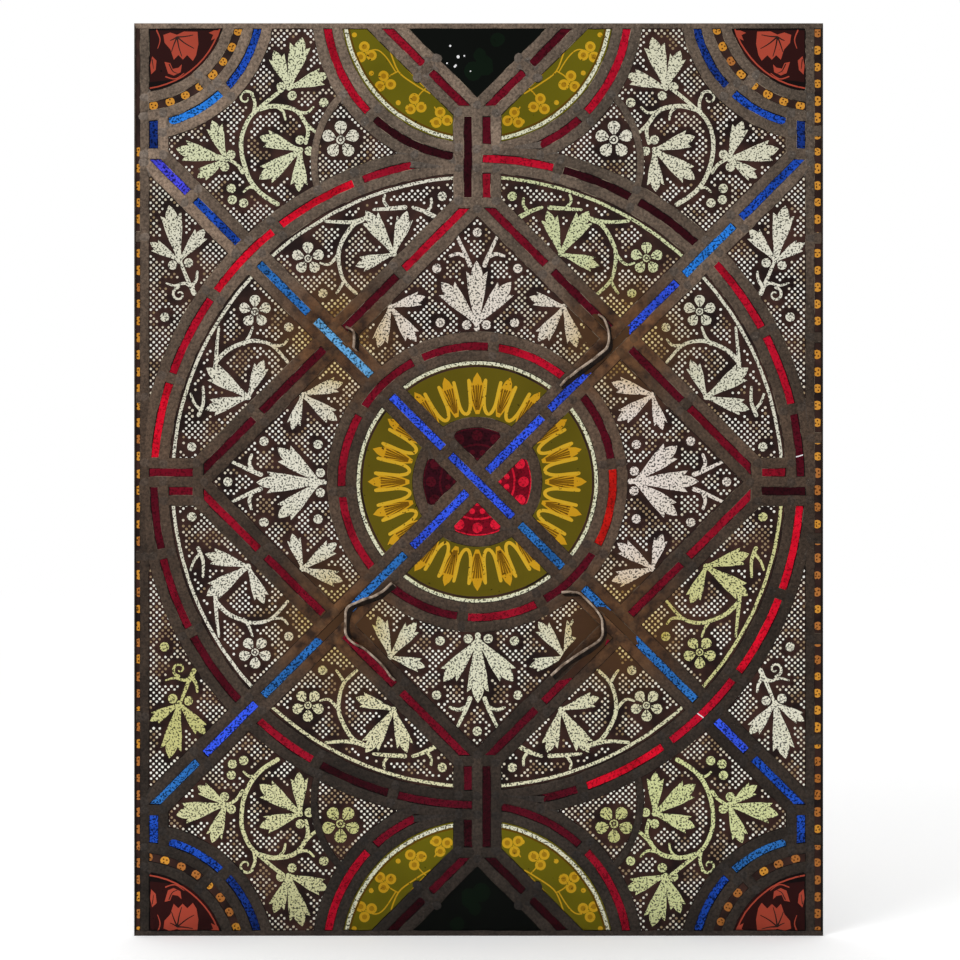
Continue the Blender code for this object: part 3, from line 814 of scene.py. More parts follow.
# %% Webs of solder
WEB_HALF = 3.2  # half the gap between two leads where the solder ends, in a narrow strip
FINE_WEB_HALF = 1.0  # and in a large pane
WEB_FACE = 2.4
NARROWEST, WIDEST = math.radians(12), math.radians(80)  # between two leads that hold a web
STRIP_SIZE = 1600.0  # square millimetres; a larger pane is no strip
WEB_EDGE = ((-1, 0), (-0.5, 0.3), (0, 0.42), (0.5, 0.3), (1, 0))  # share across, and how far it dips
strips = [pane.outline for pane in panes if pane.size < STRIP_SIZE]


def ways_from(joint, near=5.0, far=12.0):
    """Bearings of the leads that leave a joint, in order."""
    bearings = []
    for came in cames:
        reach = [math.dist(joint, point) for point in came.points]
        closest = reach.index(min(reach))
        if reach[closest] > near:
            continue
        for step in (-1, 1):
            index = closest
            while 0 <= index + step < len(reach) and reach[index] < far:
                index += step
            bearing = bearing_of(joint, came.points[index])
            fresh = all(abs(math.sin((bearing - other) / 2)) > 0.08 for other in bearings)
            if fresh and reach[index] > 0.6 * far:
                bearings.append(bearing)
    return sorted(bearings)


def lay_web(joint, first, second):
    middle, half = (first + second) / 2, (second - first) / 2
    edge = CAME_WIDTH / 2 + PRESSED
    for web in (WEB_HALF, FINE_WEB_HALF):
        reach = (web * math.cos(half) + edge) / math.sin(half)
        probe = on_circle(joint, reach + 2.5, middle)
        if web == FINE_WEB_HALF or inside_any(np.array([probe]), strips)[0]:
            break
    along, across = on_circle(MIDDLE, 1, middle), on_circle(MIDDLE, 1, middle + math.pi / 2)
    shape = [joint]
    for share, dip in WEB_EDGE:
        step = at((along, reach - dip * web), (across, share * web))
        shape.append((joint[0] + step[0], joint[1] + step[1]))
    for side in (-1, 1):
        top = [net.corner(x, side * WEB_FACE, z) for x, z in shape]
        foot = [net.corner(x, side * GLASS_FACE, z) for x, z in shape]
        net.face(faced(top, side), 0, SOLDER_TINT)
        for i in range(1, len(WEB_EDGE)):
            net.face(faced([top[i + 1], top[i], foot[i], foot[i + 1]], side), 1)


webs = 0
for joint in joints:
    bearings = ways_from(joint)
    for first, second in sides_of(bearings):
        gap = (second - first) % (2 * math.pi)
        if NARROWEST < gap < WIDEST:
            lay_web(joint, first, first + gap)
            webs += 1
print(webs, "webs of solder,", len(net.faces), "faces in all")

# %% [markdown]
# ## A little helper for materials
# A material here is a small graph of nodes. This helper adds one node, sets its choices, and
# plugs in its inputs, which are plain values or the outputs of other nodes. All patterns are
# laid out in the panel's own coordinates, in metres, so they keep their scale on every piece.

# %% Nodes
def add(tree, kind, inputs=None, **choices):
    node = tree.nodes.new("ShaderNode" + kind)
    for name, value in choices.items():
        setattr(node, name, value)
    for name, value in (inputs or {}).items():
        if isinstance(value, bpy.types.NodeSocket):
            tree.links.new(value, node.inputs[name])
        else:
            node.inputs[name].default_value = value
    return node


def linear(red, green, blue):
    """A colour as the eye and the photo name it, 0 to 255, turned to linear light."""
    values = [value / 255 for value in (red, green, blue)]
    return tuple(v / 12.92 if v <= 0.04045 else ((v + 0.055) / 1.055) ** 2.4 for v in values)


def rgba(red, green, blue):
    return (*linear(red, green, blue), 1.0)


def ramp(tree, factor, stops):
    """A colour ramp through (position, colour) stops; a single number is a grey."""
    node = add(tree, "ValToRGB", {"Fac": factor})
    elements = node.color_ramp.elements
    while len(elements) < len(stops):
        elements.new(1.0)
    for element, (position, colour) in zip(elements, stops):
        element.position = position
        element.color = (colour,) * 3 + (1.0,) if isinstance(colour, float) else colour
    return node.outputs["Color"]


def mix(tree, factor, first, second, blend_type="MIX"):
    node = add(tree, "Mix", data_type="RGBA", blend_type=blend_type)
    sockets = {"Factor_Float": factor, "A_Color": first, "B_Color": second}
    for socket in node.inputs:
        if socket.identifier in sockets:
            value = sockets[socket.identifier]
            if isinstance(value, bpy.types.NodeSocket):
                tree.links.new(value, socket)
            else:
                socket.default_value = value
    return next(s for s in node.outputs if s.identifier == "Result_Color")


def noise_of(tree, place, scale, detail=3.0, roughness=0.6):
    inputs = {"Vector": place, "Scale": scale, "Detail": detail, "Roughness": roughness}
    return add(tree, "TexNoise", inputs).outputs["Fac"]


def material(name, **plain):
    """A new material, its tree, its shader, and the place on the panel as a socket."""
    made = bpy.data.materials.new(name)
    made.use_nodes = True
    tree = made.node_tree
    shader = tree.nodes["Principled BSDF"]
    for socket, value in plain.items():
        shader.inputs[socket.replace("_", " ")].default_value = value
    place = add(tree, "TexCoord").outputs["Object"]
    return made, tree, shader, place


def roughen(tree, shader, height, strength, distance):
    bump = add(tree, "Bump", {"Height": height, "Strength": strength, "Distance": distance})
    tree.links.new(bump.outputs["Normal"], shader.inputs["Normal"])


# %% [markdown]
# ## Old lead
# New lead is silver, but a window's leads go taupe and dark grey, with chalky patches of old
# cement. Near the four crossings, iron from the bars that once held the window has washed
# rust-brown over lead and glass. Three sizes of noise make the patches, and the distance to
# each crossing mixes in the rust.

# %% Lead
CROSSING = DIAMOND * DIAGONAL
RUST_NEAR, RUST_FAR = 0.03, 0.075  # metres from a crossing
# The lead is made darker towards the bottom.
LOWER_DARKENING = [(0.1, (0.2, 0.2, 0.21, 1.0)), (0.44, (0.44, 0.38, 0.34, 1.0)), (0.72, 0.84)]  # by height


def rust_share(tree, place):
    """From 1 at the crossings to 0 away from them, with a ragged edge."""
    nearest = 1.0
    for x in (-CROSSING, CROSSING):
        for z in (-CROSSING, CROSSING):
            spot = ((x + SHIFT_X) * MM, 0.0, (z + SHIFT_Z) * MM)
            gap = add(tree, "VectorMath", {0: place, 1: spot}, operation="DISTANCE").outputs["Value"]
            nearest = add(tree, "Math", {0: gap, 1: nearest}, operation="MINIMUM").outputs[0]
    ragged = add(tree, "Math", {0: noise_of(tree, place, 45.0), 1: 0.05, 2: -0.025}, operation="MULTIPLY_ADD")
    edge = add(tree, "Math", {0: nearest, 1: ragged.outputs[0]}, operation="ADD").outputs[0]
    inputs = {"Value": edge, "From Min": RUST_NEAR, "From Max": RUST_FAR, "To Min": 1.0, "To Max": 0.0}
    return add(tree, "MapRange", inputs).outputs["Result"]


def old_lead():
    made, tree, shader, place = material("old_lead", Roughness=0.6, Metallic=0.1, Specular_IOR_Level=0.12)
    broad = ramp(tree, noise_of(tree, place, 6.0), [(0.38, rgba(104, 90, 77)), (0.6, rgba(140, 120, 103))])
    parts = add(tree, "SeparateXYZ", {"Vector": place}).outputs
    lower_darkening = ramp(tree, parts["Z"], LOWER_DARKENING)
    broad = mix(tree, 1.0, broad, lower_darkening, "MULTIPLY")
    # and a little darker towards the right
    inputs = {"Value": parts["X"], "From Min": -0.25, "From Max": 0.3, "To Min": 1.0, "To Max": 0.75}
    broad = mix(tree, 1.0, broad, add(tree, "MapRange", inputs).outputs["Result"], "MULTIPLY")
    patches = ramp(tree, noise_of(tree, place, 38.0, 4.0), [(0.36, 0.66), (0.62, 1.0)])
    streaks = ramp(tree, noise_of(tree, place, 380.0, 5.0, 0.65), [(0.38, 0.5), (0.6, 1.1)])
    grey = mix(tree, 1.0, mix(tree, 1.0, broad, patches, "MULTIPLY"), streaks, "MULTIPLY")
    chalk = ramp(tree, noise_of(tree, place, 480.0, 4.0, 0.7), [(0.6, 0.0), (0.74, 0.5)])
    grey = mix(tree, chalk, grey, mix(tree, 1.0, rgba(190, 176, 158), lower_darkening, "MULTIPLY"))
    rust = ramp(tree, noise_of(tree, place, 90.0, 4.0), [(0.35, rgba(44, 28, 18)), (0.68, rgba(100, 68, 42))])
    colour = mix(tree, rust_share(tree, place), grey, rust)
    tint = add(tree, "Attribute", attribute_name="tint").outputs["Color"]
    tree.links.new(mix(tree, 1.0, colour, tint, "MULTIPLY"), shader.inputs["Base Color"])
    roughen(tree, shader, noise_of(tree, place, 420.0, 4.0), 0.8, 0.001)
    return made


def old_cement():
    made, tree, shader, place = material("old_cement", Roughness=0.9, Specular_IOR_Level=0.1)
    patches = noise_of(tree, place, 55.0, 4.0)
    chalky = ramp(tree, patches, [(0.5, rgba(24, 20, 17)), (0.6, rgba(132, 118, 100))])
    height = add(tree, "SeparateXYZ", {"Vector": place}).outputs["Z"]
    # The cement is made darker towards the bottom too.
    lower_darkening = ramp(tree, height, [(0.15, 0.15), (0.7, 1.0)])
    tree.links.new(mix(tree, 1.0, chalky, lower_darkening, "MULTIPLY"), shader.inputs["Base Color"])
    return made


lead = old_lead()
cement = old_cement()
net.finish("lead_net", [lead, cement], "lead", ["lead_cames"], smooth=38)
print("lead net laid")

# %% [markdown]
# ## Kinds of glass
# Pot glass is coloured all through. The ruby and blue strips are rolled glass, whose pebbled
# face breaks the light into bright and dark flecks. The strip's own tint comes from its mesh, so
# that one material serves every strip and no two look the same.

# %% Pot glass
GLASS_IOR = 1.12  # the studio is bright all round, so a real glass's shine would wash the colours out


def pot_glass(name, grain, net_share, net_depth):
    """Pebbled glass. The net is the dark seams between pebbles, from 0 to 1 of the surface."""
    made, tree, shader, place = material(name, Roughness=0.12, IOR=GLASS_IOR, Transmission_Weight=1.0)
    tint = add(tree, "Attribute", attribute_name="tint").outputs["Color"]
    pebbles = noise_of(tree, place, grain, 2.0, 0.55)
    middle = 0.3 + 0.3 * net_share
    flecks = ramp(tree, pebbles, [(middle - 0.04, net_depth), (middle + 0.04, 0.8), (0.68, 1.0)])
    cloud = ramp(tree, noise_of(tree, place, 28.0, 3.0), [(0.36, 0.34), (0.56, 1.0)])
    colour = mix(tree, 1.0, mix(tree, 1.0, tint, flecks, "MULTIPLY"), cloud, "MULTIPLY")
    tree.links.new(colour, shader.inputs["Base Color"])
    roughen(tree, shader, pebbles, 0.4, 0.0006)
    return made


# %% [markdown]
# ## Which node a pane belongs to
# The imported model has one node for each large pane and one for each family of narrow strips.
# A pane's inner point lies on the front face of exactly one of them.

# %% Panes by node
def front_triangles(node):
    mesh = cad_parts[node].data
    mesh.calc_loop_triangles()
    corners = [(v.co.x / MM - SHIFT_X, v.co.y / MM, v.co.z / MM - SHIFT_Z) for v in mesh.vertices]
    for triangle in mesh.loop_triangles:
        shape = [corners[index] for index in triangle.vertices]
        if all(depth < 0 for x, depth, z in shape):
            flat = [(x, z) for x, depth, z in shape]
            yield flat if area(flat) > 0 else flat[::-1]


def holds(triangle, point):
    return all(area([point, a, b]) >= 0 for a, b in zip(triangle, triangle[1:] + triangle[:1]))


glass_nodes = {n: list(front_triangles(n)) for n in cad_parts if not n.startswith(("lead", "tie"))}
panes_of = {node: [] for node in glass_nodes}
for pane in panes:
    for node, triangles in glass_nodes.items():
        if any(holds(triangle, pane.inside) for triangle in triangles):
            panes_of[node].append(pane)
            break
print({node: len(found) for node, found in panes_of.items() if len(found) != 1})


# %% [markdown]
# ## A plate of glass
# Paint on glass is far thinner than a hair. Separate slips laid on top would flicker against
# the glass, so the pane's own front is cut along every painted edge, and each part of the front
# takes the finish of what lies on it. The back stays one plain face, and walls join the two.

# %% A plate of glass
def glaze(solid, plan, scheme, back):
    """Front triangles finished by the first kind in the scheme that covers them, walls, plain back."""
    half = GLASS / 2
    front = {}
    group = [i for i, cover in enumerate(plan.cover) if "pane" in cover]
    for i in group:
        look, tint = next(finish for kind, finish in scheme.items() if kind in plan.cover[i])
        for corner in plan.triangles[i]:
            if corner not in front:
                x, z = plan.points[corner]
                front[corner] = solid.corner(x, -half, z)
        solid.face([front[corner] for corner in plan.triangles[i]], look, tint)
    loop = plan.outline_corners(group)
    behind = [solid.corner(plan.points[c][0], half, plan.points[c][1]) for c in loop]
    for i in range(len(loop)):
        j = (i + 1) % len(loop)
        solid.face([front[loop[j]], front[loop[i]], behind[i], behind[j]], back)
    solid.face(behind[::-1], back)


# %% [markdown]
# ## The glass painter's strokes
# Grisaille is painted the other way round from what the eye thinks: the whole pane is covered
# with black-brown enamel, and leaves, stems and dots are left bare or scratched out. So the
# drawing is a set of flat shapes of bare glass. A hand never draws twice the same, and every
# shape is bent a little by the same smooth noise as the leads.

# %% Strokes
HAND = 0.45  # how far the painter's hand strays
HAND_LENGTH = 17.0


def strayed(x, z):
    place = (x / HAND_LENGTH, z / HAND_LENGTH)
    return x + HAND * noise.noise((*place, 41)), z + HAND * noise.noise((*place, 47))


def disc(centre, radius, steps=14):
    return [on_circle(centre, radius, 2 * math.pi * step / steps) for step in range(steps)]


def smooth_line(points, steps=5):
    """A Catmull-Rom curve through the points."""
    line = []
    for i in range(len(points) - 1):
        a, b, c, d = (points[min(max(j, 0), len(points) - 1)] for j in range(i - 1, i + 3))
        for step in range(steps):
            t = step / steps
            line.append(tuple(
                0.5 * (2 * b[k] + (c[k] - a[k]) * t + (2 * a[k] - 5 * b[k] + 4 * c[k] - d[k]) * t**2
                       + (3 * b[k] - a[k] - 3 * c[k] + d[k]) * t**3)
                for k in (0, 1)
            ))
    return [*line, points[-1]]


def ways_across(line):
    """The way across a line at each of its points."""
    for i in range(len(line)):
        before, after = line[max(i - 1, 0)], line[min(i + 1, len(line) - 1)]
        length = math.dist(before, after) or 1.0
        yield -(after[1] - before[1]) / length, (after[0] - before[0]) / length


def ribbon(line, start_width, end_width):
    """A line as four-sided pieces whose width runs from one value to the other, with round ends."""
    sides = []
    for i, ((x, z), (ax, az)) in enumerate(zip(line, ways_across(line))):
        half = (start_width + (end_width - start_width) * i / (len(line) - 1)) / 2
        sides.append(((x + ax * half, z + az * half), (x - ax * half, z - az * half)))
    pieces = [[a[0], b[0], b[1], a[1]] for a, b in zip(sides, sides[1:])]
    return [*pieces, disc(line[0], start_width / 2, 8), disc(line[-1], end_width / 2, 8)]


# %% Leaves, berries and rosettes
LEAF_EDGE = (  # share of the length from the stalk, and share of the half width
    (0.0, 0.22), (0.12, 0.27), (0.25, 0.40), (0.38, 0.58), (0.50, 0.74), (0.60, 0.85), (0.70, 0.90),
    (0.78, 0.98), (0.84, 1.02), (0.80, 0.68), (0.76, 0.54), (0.82, 0.54), (0.89, 0.42), (0.95, 0.22),
)
LEAF_SLIM = 0.185  # half width over length


def leaflet(stalk, tip, slim=LEAF_SLIM):
    """One leaflet with a long middle lobe and two pointed side lobes."""
    along = (tip[0] - stalk[0], tip[1] - stalk[1])
    across = (-along[1] * slim, along[0] * slim)
    edge = [*LEAF_EDGE, (1.0, 0.0), *[(t, -s) for t, s in LEAF_EDGE[::-1]]]
    return [
        (stalk[0] + along[0] * t + across[0] * s, stalk[1] + along[1] * t + across[1] * s)
        for t, s in edge
    ]


BERRY = 4.1
PETALS = 5
PETAL_EDGE = ((5.0, 1.2), (7.5, 3.5), (10.5, 5.2), (13.0, 5.3), (15.2, 4.0), (16.6, 1.8))


class Drawing:
    """Flat shapes by kind, drawn in one place and moved to where the pane is."""

    def __init__(self, move=lambda x, z: (x, z)):
        self.move = move
        self.shapes = {}

    def put(self, kind, *outlines):
        for outline in outlines:
            moved = [strayed(*self.move(x, z)) for x, z in outline]
            self.shapes.setdefault(kind, []).append(moved)

    def line(self, kind, points, start_width, end_width=None):
        self.put(kind, *ribbon(smooth_line(points), start_width, end_width or start_width))

    def stems(self, *stems):
        """Bare lines, each as its width at the start, its width at the end and its points."""
        for start_width, end_width, *points in stems:
            self.line("clear", points, start_width, end_width)

    def berry(self, centre):
        self.put("clear", disc(centre, BERRY))
        hook = [on_circle(centre, BERRY * 0.48, math.radians(a)) for a in (150, 90, 30, -30, -90)]
        self.line("line", hook, 0.35, 0.5)

    def sprig(self, stalk, tips, berries=(), slim=LEAF_SLIM):
        for tip in tips:
            self.put("clear", leaflet(stalk, tip, slim))
        self.put("clear", disc(stalk, 2.6, 10))
        for centre in berries:
            self.berry(centre)

    def rosette(self, centre, size=1.0):
        for petal in range(PETALS):
            out = on_circle(MIDDLE, 1, math.pi / 2 + 2 * math.pi * petal / PETALS)
            edge = [*PETAL_EDGE, *[(reach, -half) for reach, half in PETAL_EDGE[::-1]]]
            self.put("clear", [
                (centre[0] + (out[0] * reach - out[1] * half) * size,
                 centre[1] + (out[1] * reach + out[0] * half) * size)
                for reach, half in edge
            ])
            vein = [
                (centre[0] + out[0] * reach * size, centre[1] + out[1] * reach * size)
                for reach in (5.0, 12.0)
            ]
            self.line("line", vein, 1.0, 0.4)
        self.put("clear", disc(centre, 3.9 * size, 12))
        self.put("line", disc(centre, 2.4 * size, 12))
        self.put("clear over line", disc(centre, 1.3 * size, 8))

    def curl(self, centre, radius, bearing, turn):
        """A stem's end rolled up round centre, from bearing on, by turn radians."""
        steps = 14
        points = [
            on_circle(centre, radius * (1 - 0.75 * i / steps), bearing + turn * i / steps)
            for i in range(steps + 1)
        ]
        self.put("clear", *ribbon(points, 2.6, 1.2))


def tell(draw):
    """Prints how many shapes of each kind a drawing has."""
    trial = Drawing()
    draw(trial)
    print(draw.__name__.replace("_", " "), {kind: len(shapes) for kind, shapes in trial.shapes.items()})



# %% [markdown]
# ## Dots between the leaves
# The bare ground is filled with a slanting lattice of scratched dots. A dot is left out where a
# leaf, a stem or a berry is near, which leaves each motif its dark seam. The distances from all
# dots to all edges are measured at once with numpy.

# %% The lattice of dots
DOT_PITCH = 3.72
DOT_RADIUS = 1.13
DOT_SEAM = 3.8  # from a motif's edge to the middle of the nearest dot
DOT_CORNERS = 8


def far_from(dots, outlines, gap):
    """Which dots keep the gap from every outline and lie inside none."""
    starts, ends = edges_of(outlines)
    run = ends - starts
    reach = dots[:, None, :] - starts[None]
    share = np.clip((reach * run).sum(2) / np.maximum((run**2).sum(1), 1e-9), 0, 1)
    nearest = np.linalg.norm(reach - share[..., None] * run, axis=2).min(1)
    return (nearest > gap) & ~inside_any(dots, outlines)


def lattice(outline):
    """The middles of the dots over a pane."""
    xs, zs = zip(*outline)
    step = DOT_PITCH * DIAGONAL
    columns = range(math.floor(min(xs) / step), math.ceil(max(xs) / step) + 1)
    rows = range(math.floor(min(zs) / step), math.ceil(max(zs) / step) + 1)
    return np.array([strayed(i * step, j * step) for i in columns for j in rows if (i + j) % 2 == 0])


def add_dots(outline, drawing):
    dots = lattice(outline)
    dots = dots[inside_any(dots, [outline])]
    motifs = [shape for shapes in drawing.shapes.values() for shape in shapes]
    dots = dots[far_from(dots, motifs, DOT_SEAM)]
    for x, z in dots:
        radius = DOT_RADIUS * (1 + 0.22 * wander(x * 7, z * 7, 51))
        shape = []
        for i in range(DOT_CORNERS):
            ragged = radius * (1 + 0.12 * wander(x * 9 + 3 * i, z * 9, 61))
            shape.append(on_circle((x, z), ragged, 2 * math.pi * (i + 0.5) / DOT_CORNERS))
        light = wander(x * 0.5, z * 0.5, 71) + 0.6 * wander(x * 11, z * 11, 73)
        kind = "bright dot" if light > 0.0 else "dot" if light > -0.3 else "dim dot"
        drawing.shapes.setdefault(kind, []).append(shape)
    return len(dots)


# %% [markdown]
# ## Grisaille panes
# Each kind of pane has one drawing, made for the upper left quarter, or for the top, and turned
# or mirrored for its sisters. Stems come first, then leaves and berries on top, as a painter
# lays them in.

# %% Corner panes
def draw_corner(d):
    d.stems(
        (4.0, 3.2, (-177, 246), (-191, 255), (-201, 267), (-207, 282), (-209, 297), (-208, 308), (-202, 322),
         (-192, 332), (-180, 342), (-172, 348)),
        (4.2, 3.0, (-194, 330), (-180, 333), (-163, 330), (-154, 321), (-150, 311), (-152, 300)),
        (3.2, 2.6, (-208, 274), (-213, 281), (-221, 286)),
        (3.0, 1.8, (-160, 328), (-151, 327), (-145, 332)),
        (3.4, 2.6, (-154, 320), (-147, 313), (-142, 309)),
        (3.0, 1.8, (-178, 333), (-172, 328), (-170, 321)),
        (3.0, 1.8, (-196, 260), (-202, 261), (-207, 257)),
        (3.2, 2.4, (-198, 327), (-197, 336), (-200, 344)),
    )
    d.curl((-205, 340), 7.0, math.radians(35), math.radians(330))
    d.sprig((-167, 349), [(-155, 394), (-180, 382), (-132, 361)], [(-174, 350), (-164, 342)], slim=0.2)
    d.sprig((-223, 286), [(-235, 320), (-267, 295), (-248, 269)], [(-218, 290), (-224, 279)], slim=0.2)
    d.sprig((-157, 294), [(-193, 306), (-193, 268), (-158, 257)], [(-157, 303), (-149, 293)], slim=0.2)
    for centre in ((-218, 260), (-217, 250), (-207, 247), (-136, 336)):
        d.berry(centre)


tell(draw_corner)

# %% Triangles
def draw_rosette_triangle(d):
    d.rosette((-121, 303))


def draw_side_triangle(d):
    d.stems(
        (2.4, 4.2, (-264, 197), (-256, 178), (-251, 167)),
        (3.4, 2.0, (-253, 173), (-249, 179), (-248, 186)),
        (3.4, 1.4, (-252, 172), (-259, 176), (-268, 174), (-276, 176)),
    )
    d.curl((-264, 166), 6.4, math.radians(95), math.radians(390))
    d.sprig((-264, 196), [(-273, 245), (-290, 212), (-241, 224)], [(-270, 192), (-256, 194)])
    d.berry((-277, 146))


tell(draw_rosette_triangle)
tell(draw_side_triangle)

# %% The four panes inside the diamond
def draw_star(d):
    d.sprig((-0.5, 136), [(-0.5, 196)], [(-9.5, 139), (8, 139)], slim=0.155)
    d.sprig((-0.5, 140), [(-32, 177), (30, 177)])
    for side in (-1, 1):
        d.stems(
            (4.2, 2.6, (side * 6.5, 192), (side * 10, 201), (side * 18, 218)),
            (3.4, 2.6, (side * 11, 200), (side * 17, 202), (side * 24, 200)),
        )
        d.sprig((side * 77, 155), [(side * 46, 164), (side * 54, 124), (side * 88, 119)])
        d.berry((side * 36, 189))
        d.berry((side * 33, 141))
    d.berry((0, 221))


tell(draw_star)

# %% The eight panes between diamond and ring
PEARL_RADIUS = 270.0
PEARL_WIDTH = 2.8


def arc(d, kind, centre, radius, bearings, width):
    """A line of even width along a circle, through these bearings in degrees."""
    points = [on_circle(centre, radius, math.radians(degrees)) for degrees in bearings]
    d.put(kind, *ribbon(points, width, width))


def pearl_arc(d, centre, radius, start, end, width=PEARL_WIDTH):
    """A bare line that follows a came, from one bearing to the other, in degrees."""
    count = max(2, round(abs(end - start) * math.pi / 180 * radius / 6))
    arc(d, "clear", centre, radius, [start + (end - start) * i / count for i in range(count + 1)], width)


def draw_segment_end(d):
    pearl_arc(d, MIDDLE, PEARL_RADIUS, 88, 137)
    d.stems(
        (4.0, 2.8, (-102, 232), (-110, 228), (-119, 214), (-123, 200), (-119, 180), (-107, 167)),
        (2.6, 4.0, (-134, 231), (-119, 230), (-108, 231), (-98, 234)),
        (3.0, 1.8, (-122, 203), (-131, 193), (-139, 194)),
        (2.8, 2.0, (-118, 178), (-122, 171), (-125, 167)),
        (2.4, 4.0, (-92, 241), (-80, 242), (-64, 243)),
        (2.8, 2.0, (-79, 243), (-83, 249), (-82, 254)),
        (2.8, 4.2, (-57, 243), (-48, 240), (-38, 235)),
        (3.0, 2.2, (-45, 239), (-41, 245), (-41, 251)),
    )
    d.sprig((-74, 202), [(-99, 240), (-62, 240), (-108, 191)])
    d.rosette((-150, 198), 0.86)
    d.berry((-137, 167))
    d.berry((-31, 253))


def draw_segment_side(d):
    pearl_arc(d, MIDDLE, PEARL_RADIUS, 133, 182)
    d.stems(
        (4.0, 2.6, (-232, 106), (-222, 116), (-210, 122), (-197, 125), (-182, 121), (-168, 106)),
        (4.0, 2.0, (-232, 100), (-231, 118), (-229, 137)),
        (3.0, 1.8, (-207, 122), (-202, 129), (-199, 137)),
        (3.0, 1.8, (-182, 121), (-173, 121), (-168, 126)),
        (3.6, 2.2, (-247, 59), (-243, 70), (-243, 84)),
        (2.6, 2.0, (-245, 63), (-251, 70), (-254, 78)),
    )
    d.sprig((-203, 75), [(-240, 101), (-189, 108), (-241, 64)])
    d.rosette((-197, 151), 0.86)
    d.berry((-167, 137))
    d.berry((-253, 31))


tell(draw_segment_end)
tell(draw_segment_side)

# %% [markdown]
# ## Stained and coloured panes
# Silver stain, fired into glass, turns it amber. The ring round the middle and the panes at
# the top and bottom are olive glass with stained loops, leaves and berries. Their drawings have
# an amber kind beside the bare one, and the corner discs and ruby quarters have a bright kind.

# %% The gold ring
PALMETTE = (  # reach from the ring's centre and half width
    (60, 1.6), (66, 3.8), (72, 6.8), (78, 9.2), (84, 10.2), (81, 7.4), (87, 8.0),
    (91, 6.4), (87, 4.4), (92, 3.2), (97, 0.0),
)
LOOP = (
    (90, 6.8), (83, 6.2), (75, 5.7), (69, 5.0), (64, 3.5), (61.4, 1.7), (60.8, 0.0), (61.4, -1.7), (64, -3.5),
    (69, -5.0), (75, -5.7), (83, -6.2), (90, -6.8),
)
VEIN = ((64, 0.2), (75, 0.62), (85, 1.0))  # reach, and share of the vein's lean


def draw_gold(d):
    edge = PALMETTE + tuple((reach, -half) for reach, half in PALMETTE[-2::-1])
    for degrees in (55, 72.5, 90, 107.5, 125):
        out = on_circle(MIDDLE, 1, math.radians(degrees))
        side = (-out[1], out[0])
        d.put("amber", [at((out, reach), (side, half)) for reach, half in edge])
        for lean in (-6.6, -3.4, -1.0, 1.0, 3.4, 6.6):
            d.line("vein", [at((out, reach), (side, lean * share)) for reach, share in VEIN], 0.9, 1.5)
    for degrees in (63.5, 81, 99, 116.5):
        out = on_circle(MIDDLE, 1, math.radians(degrees))
        side = (-out[1], out[0])
        d.put("ground", [at((out, reach), (side, half * 0.8)) for reach, half in LOOP])
        d.line("amber over ground", [at((out, reach), (side, half)) for reach, half in LOOP], 3.0)
    pearl_arc(d, MIDDLE, 105.4, 40, 140, 3.0)
    arc(d, "line", MIDDLE, 102.6, range(40, 141, 5), 1.8)


tell(draw_gold)

# %% Lens panes
def draw_lens(d):
    def trefoil(centre, stem):
        for bearing in (100, 220, 340):
            berry = on_circle(centre, 5.6, math.radians(bearing))
            d.put("amber", disc(berry, 4.8))
            d.put("core", disc(berry, 2.4, 10))
        d.line("amber", [centre, *stem], 1.1)

    pearl_arc(d, CIRCLE_CENTRE, 117.9, 170, 270, 3.2)
    arc(d, "line", CIRCLE_CENTRE, 115.2, range(170, 271, 4), 1.6)
    trefoil((-99, 380), [(-90, 383), (-82, 378), (-72, 363)])
    trefoil((-82, 354), [(-77, 360), (-70, 364)])
    trefoil((-55, 334), [(-52, 342), (-45, 349)])
    trefoil((-32, 322), [(-38, 332)])
    d.line("amber", [(-78, 385), (-70, 364), (-55, 352), (-42, 344)], 1.3)
    d.line("amber", [(-68, 373), (-55, 358), (-47, 350)], 1.0)
    for centre in ((-109, 396), (-94, 362), (-70, 336), (-40, 319)):
        d.put("amber", disc(centre, 2.3, 8))


tell(draw_lens)

# %% [markdown]
# ## Corners and middle
# The corner discs are red-brown glass with one big leaf left bare in black paint, and the ruby
# quarters at the middle carry rows of pearls. They are too small for stems, so each is a few
# flat shapes. The dark triangles show nearly nothing but a few scratches.

# %% Corner discs
DISC_LEAF = (
    (-278, 396), (-272, 398), (-266, 396), (-260, 399), (-248, 399), (-247, 388), (-249, 378),
    (-252, 373), (-257, 378), (-261, 374), (-265, 378), (-269, 374), (-272, 383), (-277, 389),
)
DISC_BUD = (
    (-277, 372), (-272, 371), (-270, 366), (-265, 367), (-262, 370), (-263, 363), (-269, 360), (-274, 362),
)


def draw_corner_disc(d):
    d.put("glow", [(-290, 400), (-232, 400), (-222, 392), (-236, 372), (-256, 358), (-290, 354)])
    d.put("bright", list(DISC_LEAF))
    for end in ((-271, 381), (-262, 377), (-251, 384), (-252, 396), (-272, 391)):
        d.line("line", [(-266, 394), ((-267 + end[0]) / 2, (393 + end[1]) / 2), end], 1.4, 0.7)
    d.put("bright", list(DISC_BUD))
    d.line("line", [(-273, 370), (-270, 364), (-266, 362)], 1.1, 0.6)
    d.line("bright", [(-276, 359), (-268, 357), (-260, 362)], 1.2, 0.7)
    d.put("bright", [(-288, 377), (-284, 373), (-285, 365), (-289, 361), (-290, 369)])
    d.line("line", [(-288, 374), (-287, 366)], 1.0, 0.5)
    d.put("bright", [(-238, 398), (-233, 400), (-228, 400), (-230, 394), (-236, 391), (-234, 396)])
    d.line("bright", [(-284, 400), (-281, 392), (-283, 384)], 1.4, 0.6)
    arc(d, "bright", corner_centre(-1), CORNER_CIRCLE - 7.4, range(-88, -4, 6), 1.3)


tell(draw_corner_disc)

